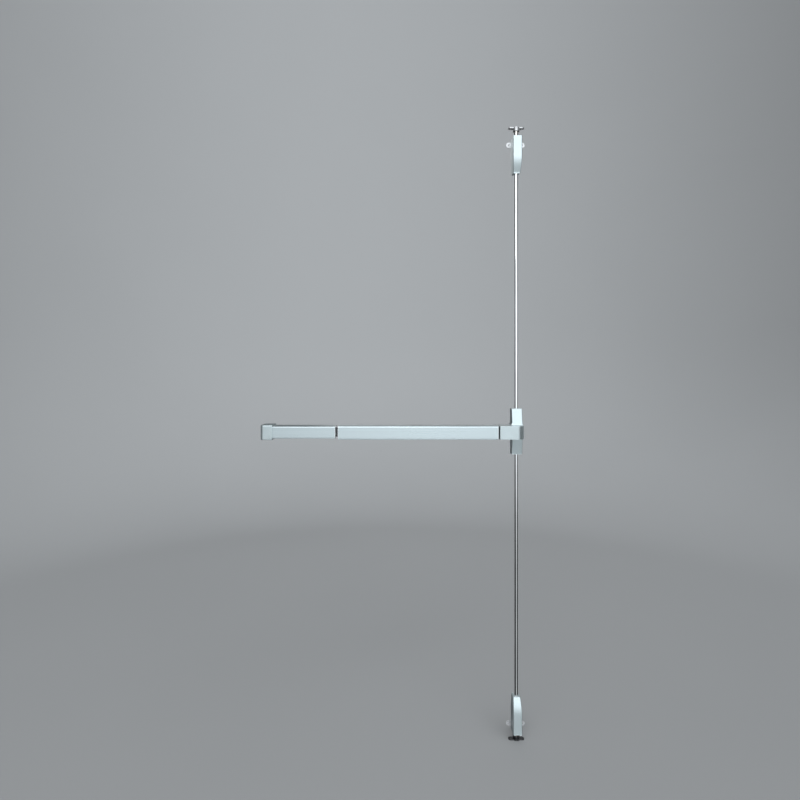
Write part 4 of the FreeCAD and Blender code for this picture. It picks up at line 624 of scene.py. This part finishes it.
def cover_section(left, right, front, edge, back=0.0, steps=6):
    """Outline (x, depth) of a cover from its right foot round the front to its left foot."""
    outline = [(right, back)]
    for a in quarter(steps):
        outline.append((right - edge * (1 - math.cos(a)), front - edge * (1 - math.sin(a))))
    for a in reversed(quarter(steps)):
        outline.append((left + edge * (1 - math.cos(a)), front - edge * (1 - math.sin(a))))
    outline.append((left, back))
    return outline


def cover_rings(stations, edge, back=0.0):
    """Rings for (z, left, right, front, inset) stations."""
    rings = []
    for z, left, right, front, inset in stations:
        corner = max(edge - 0.4 * inset, 0.3 * MM)
        outline = cover_section(left + inset, right - inset, front - inset, corner, back)
        rings.append([(x, -depth, z) for x, depth in outline])
    return rings


def carve(obj, cutters):
    """Cuts each closed form out of obj and leaves the result as its mesh."""
    made = [closed_form("cutter", *cutter) for cutter in cutters]
    for cutter in made:
        step = obj.modifiers.new("cut", "BOOLEAN")
        step.operation, step.solver, step.object = "DIFFERENCE", "EXACT", cutter
    bpy.context.view_layer.update()
    graph = bpy.context.evaluated_depsgraph_get()
    result = bpy.data.meshes.new_from_object(obj.evaluated_get(graph))
    obj.modifiers.clear()
    obj.data = result
    for cutter in made:
        bpy.data.objects.remove(cutter)
    smooth_up_to(result, 32)
    even = obj.modifiers.new("even", "WEIGHTED_NORMAL")
    even.keep_sharp = True


def prism(outline, place, start, end):
    """A closed form: outline points (u, v) carried by place(u, v, w) from w = start to w = end."""
    return lofted([[place(u, v, w) for u, v in outline] for w in (start, end)])


def arch(radius, depth, back=0.0, steps=24):
    """Outline (x, depth) of a slot that runs from the door's side to a round end at depth."""
    points = [(radius * math.cos(a), depth + radius * math.sin(a))
              for a in (math.pi * k / steps for k in range(steps + 1))]
    return [(radius, back), *points, (-radius, back)]


def disc(radius, steps=48):
    return [(radius * math.cos(2 * math.pi * k / steps), radius * math.sin(2 * math.pi * k / steps))
            for k in range(steps)]


BEHIND = -2 * MM  # cutters run this far past the door's face
PAST = 1 * MM  # and this far past a wall


def sink(side_x, inward, centre_depth, centre_z, shank, head):
    """Countersink and clearance hole in a cover's side wall, along X."""
    hole_length = 4 * MM
    rings = []
    for offset, radius in ((-PAST, head), (0, head), (head - shank, shank), (hole_length, shank)):
        x = side_x + inward * offset
        rings.append([(x, -centre_depth + u, centre_z + v) for u, v in disc(radius, 32)])
    return lofted(rings)


def rod_axis_depth(rod):
    """How far the rods' centre line stands off the door."""
    low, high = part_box(rod)
    return -(low.y + high.y) / 2


def latch_cover(node, side, bolt, rod):
    """Cast latch cover: rounded front edges, rod end curved back and in, arched notch at the bolt."""
    low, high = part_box(node)
    half, front = high.x, -low.y
    outer_end, inner_end = (high.z, low.z) if side > 0 else (low.z, high.z)
    length = abs(outer_end - inner_end)
    taper, drop, narrow = 60 * MM, 17.5 * MM, 3 * MM  # the curved stretch, and how far it goes back and in
    wall, edge, outer_nose, inner_nose = 1.8 * MM, 2.6 * MM, 2.0 * MM, 5.0 * MM
    gap, play = 0.5 * MM, 0.3 * MM  # round bolt and rod; round the plate's ears
    notch_beyond, notch_radius = 8 * MM, 12 * MM
    ear_from_end, ear_half, ear_thick = 18 * MM, 8.5 * MM, 2.5 * MM
    screw_from_end, screw_depth, screw_shank, screw_head = 12 * MM, 5.2 * MM, 1.3 * MM, 2.7 * MM

    def body_at(run):
        """Half width and front depth at a distance run from the outer end."""
        share = max(0.0, (run - (length - taper)) / taper)
        return half - narrow * share * share, front - drop * share * share

    runs = [(outer_nose * (1 - math.cos(a)), outer_nose * (1 - math.sin(a))) for a in quarter(6)]
    straight, straight_steps, taper_steps = length - taper - outer_nose, 8, 14
    runs += [(outer_nose + straight * k / straight_steps, 0.0) for k in range(1, straight_steps)]
    runs += [(length - taper + (taper - inner_nose) * k / taper_steps, 0.0)
             for k in range(taper_steps + 1)]
    runs += [(length - inner_nose * (1 - math.sin(a)), inner_nose * (1 - math.cos(a)))
             for a in quarter(9)[1:]]
    stations = []
    for run, inset in runs:
        wide, deep = body_at(run)
        stations.append((outer_end - side * run, -wide, wide, deep, inset))
    obj = piece(f"{node}_shell", *lofted(cover_rings(stations, edge)), "door_unit", "silver_casting")

    inner = []
    steps = 16
    for k in range(steps + 1):  # the hollow follows the outside, one wall in
        run = wall + (length - 2 * wall) * k / steps
        wide, deep = body_at(run)
        inner.append((outer_end - side * run, wall - wide, wide - wall, deep - wall, 0.0))
    cavity = lofted(cover_rings(inner, edge - wall, BEHIND))

    def upright(u, v, w):
        return (u, -v, w)

    axis_depth = rod_axis_depth(rod)
    bolt_door = prism(
        arch(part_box(bolt)[1].x + gap, axis_depth, BEHIND),
        upright,
        outer_end + side * PAST,
        outer_end - side * (wall + PAST),
    )
    rod_door = prism(
        arch(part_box(rod)[1].x + gap, axis_depth, BEHIND),
        upright,
        inner_end - side * PAST,
        inner_end + side * (wall + PAST),
    )
    notch_z = outer_end + side * notch_beyond
    notch = prism(
        disc(notch_radius),
        lambda u, v, w: (u, -w, notch_z + v),
        front - wall - PAST,
        front + PAST,
    )
    ear_z = outer_end - side * ear_from_end
    ear_high = ear_half + play
    ears = prism(
        [(-2 * half, ear_z - ear_high), (2 * half, ear_z - ear_high),
         (2 * half, ear_z + ear_high), (-2 * half, ear_z + ear_high)],
        lambda u, v, w: (u, -w, v),
        BEHIND,
        ear_thick + play,
    )
    screw_z = outer_end - side * screw_from_end
    sinks = [sink(end * half, -end, screw_depth, screw_z, screw_shank, screw_head) for end in (1, -1)]
    carve(obj, [cavity, bolt_door, rod_door, notch, ears, *sinks])
    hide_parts(node)


def rod_cover(node, side, rod):
    """Cast cover beside the head: slopes back to its tip and flares at its foot."""
    low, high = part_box(node)
    half, root = high.x, -low.y
    foot, tip_z = (low.z, high.z) if side > 0 else (high.z, low.z)
    tip, wall, edge, nose = 25.5 * MM, 2.0 * MM, 2.0 * MM, 2.0 * MM
    left_flare, right_flare, flare_length = 3.2 * MM, 1.2 * MM, 7 * MM
    gap, inner_edge = 0.5 * MM, 1.2 * MM
    screw_height, screw_depth, screw_shank, screw_head = 56 * MM, 7 * MM, 1.8 * MM, 3.6 * MM
    length = abs(tip_z - foot)

    def stations(inset_by, start, end, steps):
        for k in range(steps + 1):
            run = start + (end - start) * k / steps
            deep = root + (tip - root) * run / length
            share = math.exp(-((run / flare_length) ** 2) * 2)
            left = inset_by - half - left_flare * share
            right = half - inset_by + right_flare * share
            yield (foot + side * run, left, right, deep - inset_by, 0.0)

    outer = list(stations(0.0, 0.0, length - nose, 26))
    z, left, right, deep, _ = outer[-1]
    for a in quarter(6)[1:]:
        outer.append((z + side * nose * math.sin(a), left, right, deep, nose * (1 - math.cos(a))))
    obj = piece(f"{node}_shell", *lofted(cover_rings(outer, edge)), "door_unit", "silver_casting")
    inner = list(stations(wall, -PAST, length - wall, 20))
    cavity = lofted(cover_rings(inner, inner_edge, BEHIND))
    axis_depth = rod_axis_depth(rod)
    passage = prism(
        disc(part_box(rod)[1].x + gap),
        lambda u, v, w: (u, -axis_depth + v, w),
        tip_z + side * PAST,
        tip_z - side * (wall + PAST),
    )
    screw_z = side * screw_height
    sinks = [sink(end * half, -end, screw_depth, screw_z, screw_shank, screw_head) for end in (1, -1)]
    carve(obj, [cavity, passage, *sinks])
    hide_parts(node)


springs()
for node in ("cover_screws", "latch_screws"):
    cross_screws(node)
latch_cover("top_latch_cover", 1, "top_bolt", "upper_rod")
latch_cover("bottom_latch_cover", -1, "bottom_bolt", "lower_rod")
rod_cover("upper_rod_cover", 1, "upper_rod")
rod_cover("lower_rod_cover", -1, "lower_rod")


# --- floor, light and camera -----------------------------------------------------------------------


def studio_floor():
    """Pale floor that sweeps up into a backdrop all round, seen by the camera only."""
    flat, bend, tall, steps = 2.6, 1.6, 9.0, 18
    floor = cad_low.z
    profile = [(0.0, floor), (flat * 0.5, floor)]
    profile += [(flat + bend * math.sin(a), floor + bend * (1 - math.cos(a)))
                for a in quarter(steps)]
    profile.append((flat + bend, floor + bend + tall))
    around = 128
    headings = [2 * math.pi * k / around for k in range(around)]
    vertices = [
        (centre.x + r * math.cos(a), centre.y + r * math.sin(a), z)
        for r, z in profile[1:]
        for a in headings
    ]
    vertices.append((centre.x, centre.y, floor))
    hub = len(vertices) - 1
    faces = [(hub, k, (k + 1) % around) for k in range(around)]
    for ring in range(len(profile) - 2):
        for k in range(around):
            j = (k + 1) % around
            low, high = ring * around, (ring + 1) * around
            faces.append((low + k, high + k, high + j, low + j))
    mesh = bpy.data.meshes.new("studio_floor")
    mesh.from_pydata(vertices, [], faces)
    mesh.shade_smooth()
    obj = bpy.data.objects.new("studio_floor", mesh)
    bpy.context.scene.collection.objects.link(obj)
    f = Finish("studio_floor", Metallic=0.0, Specular_IOR_Level=0.2)
    mottle = f.noise(0.4, detail=3)
    tone = f.mixed(f.span(mottle, 0.3, 0.7), (0.40, 0.405, 0.41, 1), (0.406, 0.411, 0.416, 1))
    mesh.materials.append(f.done(tone, f.span(mottle, 0.3, 0.7, 0.7, 0.8)))
    obj.visible_glossy = obj.visible_diffuse = obj.visible_shadow = False


def sky():
    """Studio surroundings: white high up in front, grey low down, dark to the sides, dim behind."""
    world = bpy.data.worlds.new("studio")
    bpy.context.scene.world = world
    world.use_nodes = True
    tree = world.node_tree
    add = tree.nodes.new
    heading = add("ShaderNodeSeparateXYZ")
    tree.links.new(add("ShaderNodeTexCoord").outputs["Generated"], heading.inputs[0])

    def fade(value, low, high, to_low, to_high):
        node = add("ShaderNodeMapRange")
        node.interpolation_type = "SMOOTHSTEP"
        tree.links.new(value, node.inputs[0])
        for socket, number in zip(node.inputs[1:5], (low, high, to_low, to_high)):
            socket.default_value = number
        return node.outputs[0]

    def combine(operation, a, b):
        node = add("ShaderNodeMath")
        node.operation = operation
        for socket, value in zip(node.inputs, (a, b)):
            tree.links.new(value, socket)
        return node.outputs[0]

    # x is to the right, y away from the front, z up; straight up and down count as in front
    x, y, z = (heading.outputs[axis] for axis in "XYZ")
    steep = combine("MAXIMUM", fade(z, 0.45, 1.0, 0.0, 0.9), fade(z, -0.45, -1.0, 0.0, 0.9))
    facing = fade(combine("SUBTRACT", steep, y), 0.58, 0.93, 0.0, 1.0)
    above = fade(z, -0.34, 0.14, 0.24, 2.4)
    zenith = fade(z, 0.8, 0.95, 0.0, -1.9)
    below = fade(z, -0.6, -0.85, 0.0, 1.5)
    # the front is dimmer to the left, and has a soft strip low down, right of the middle
    left = fade(x, -0.28, -0.12, 0.55, 1.0)
    strip = combine("MULTIPLY", fade(x, -0.15, 0.0, 0.0, 1.0), fade(x, 0.38, 0.53, 1.0, 0.0))
    strip = combine("MULTIPLY", strip, fade(z, -0.05, -0.3, 0.0, 0.42))
    front = combine("ADD", combine("ADD", above, strip), combine("ADD", zenith, below))
    front = combine("MULTIPLY", front, facing)
    front = combine("MULTIPLY", front, left)
    # a thin pale edge on each side; behind, a fill with a dark hole low in its middle
    sides = combine("MAXIMUM", fade(x, 0.96, 0.99, 0.03, 0.35), fade(x, -0.96, -0.99, 0.03, 0.35))
    open_back = combine("MAXIMUM", fade(x, -0.5, -0.3, 1.0, 0.0), fade(x, 0.3, 0.5, 0.0, 1.0))
    open_back = combine("MAXIMUM", open_back, fade(z, 0.2, 0.45, 0.0, 1.0))
    back = combine("MULTIPLY", open_back, fade(y, 0.3, 0.7, 0.0, 0.46))
    lit = combine("ADD", front, combine("ADD", sides, back))
    background = tree.nodes["Background"]
    background.inputs["Color"].default_value = (0.93, 0.97, 1.0, 1)
    tree.links.new(lit, background.inputs["Strength"])


def soft_light(name, offset, size, power):
    """An area light at offset (in reaches from the object's middle), aimed at that middle."""
    data = bpy.data.lights.new(name, "AREA")
    data.shape, data.size, data.energy = "SQUARE", size, power
    obj = bpy.data.objects.new(name, data)
    obj.location = centre + Vector(offset) * reach
    obj.rotation_euler = (centre - obj.location).to_track_quat("-Z", "Y").to_euler()
    obj.visible_camera = False
    bpy.context.scene.collection.objects.link(obj)


def camera():
    """Level camera in front of the bar's middle, a little above the bar."""
    data = bpy.data.cameras.new("camera")
    data.sensor_width, data.lens = 36, 25.5
    data.shift_x, data.shift_y = 0.00625, -0.031
    obj = bpy.data.objects.new("camera", data)
    obj.location = (-0.403, -1.9, 0.186)
    obj.rotation_euler = (math.pi / 2, 0, 0)
    bpy.context.scene.collection.objects.link(obj)
    bpy.context.scene.camera = obj


studio_floor()
sky()
soft_light("key", (-0.45, -1.9, 1.6), 1.6, 14)
soft_light("rear", (0.3, 2.2, 1.2), 2.0, 6)
camera()
bpy.context.scene.view_settings.view_transform = "Standard"
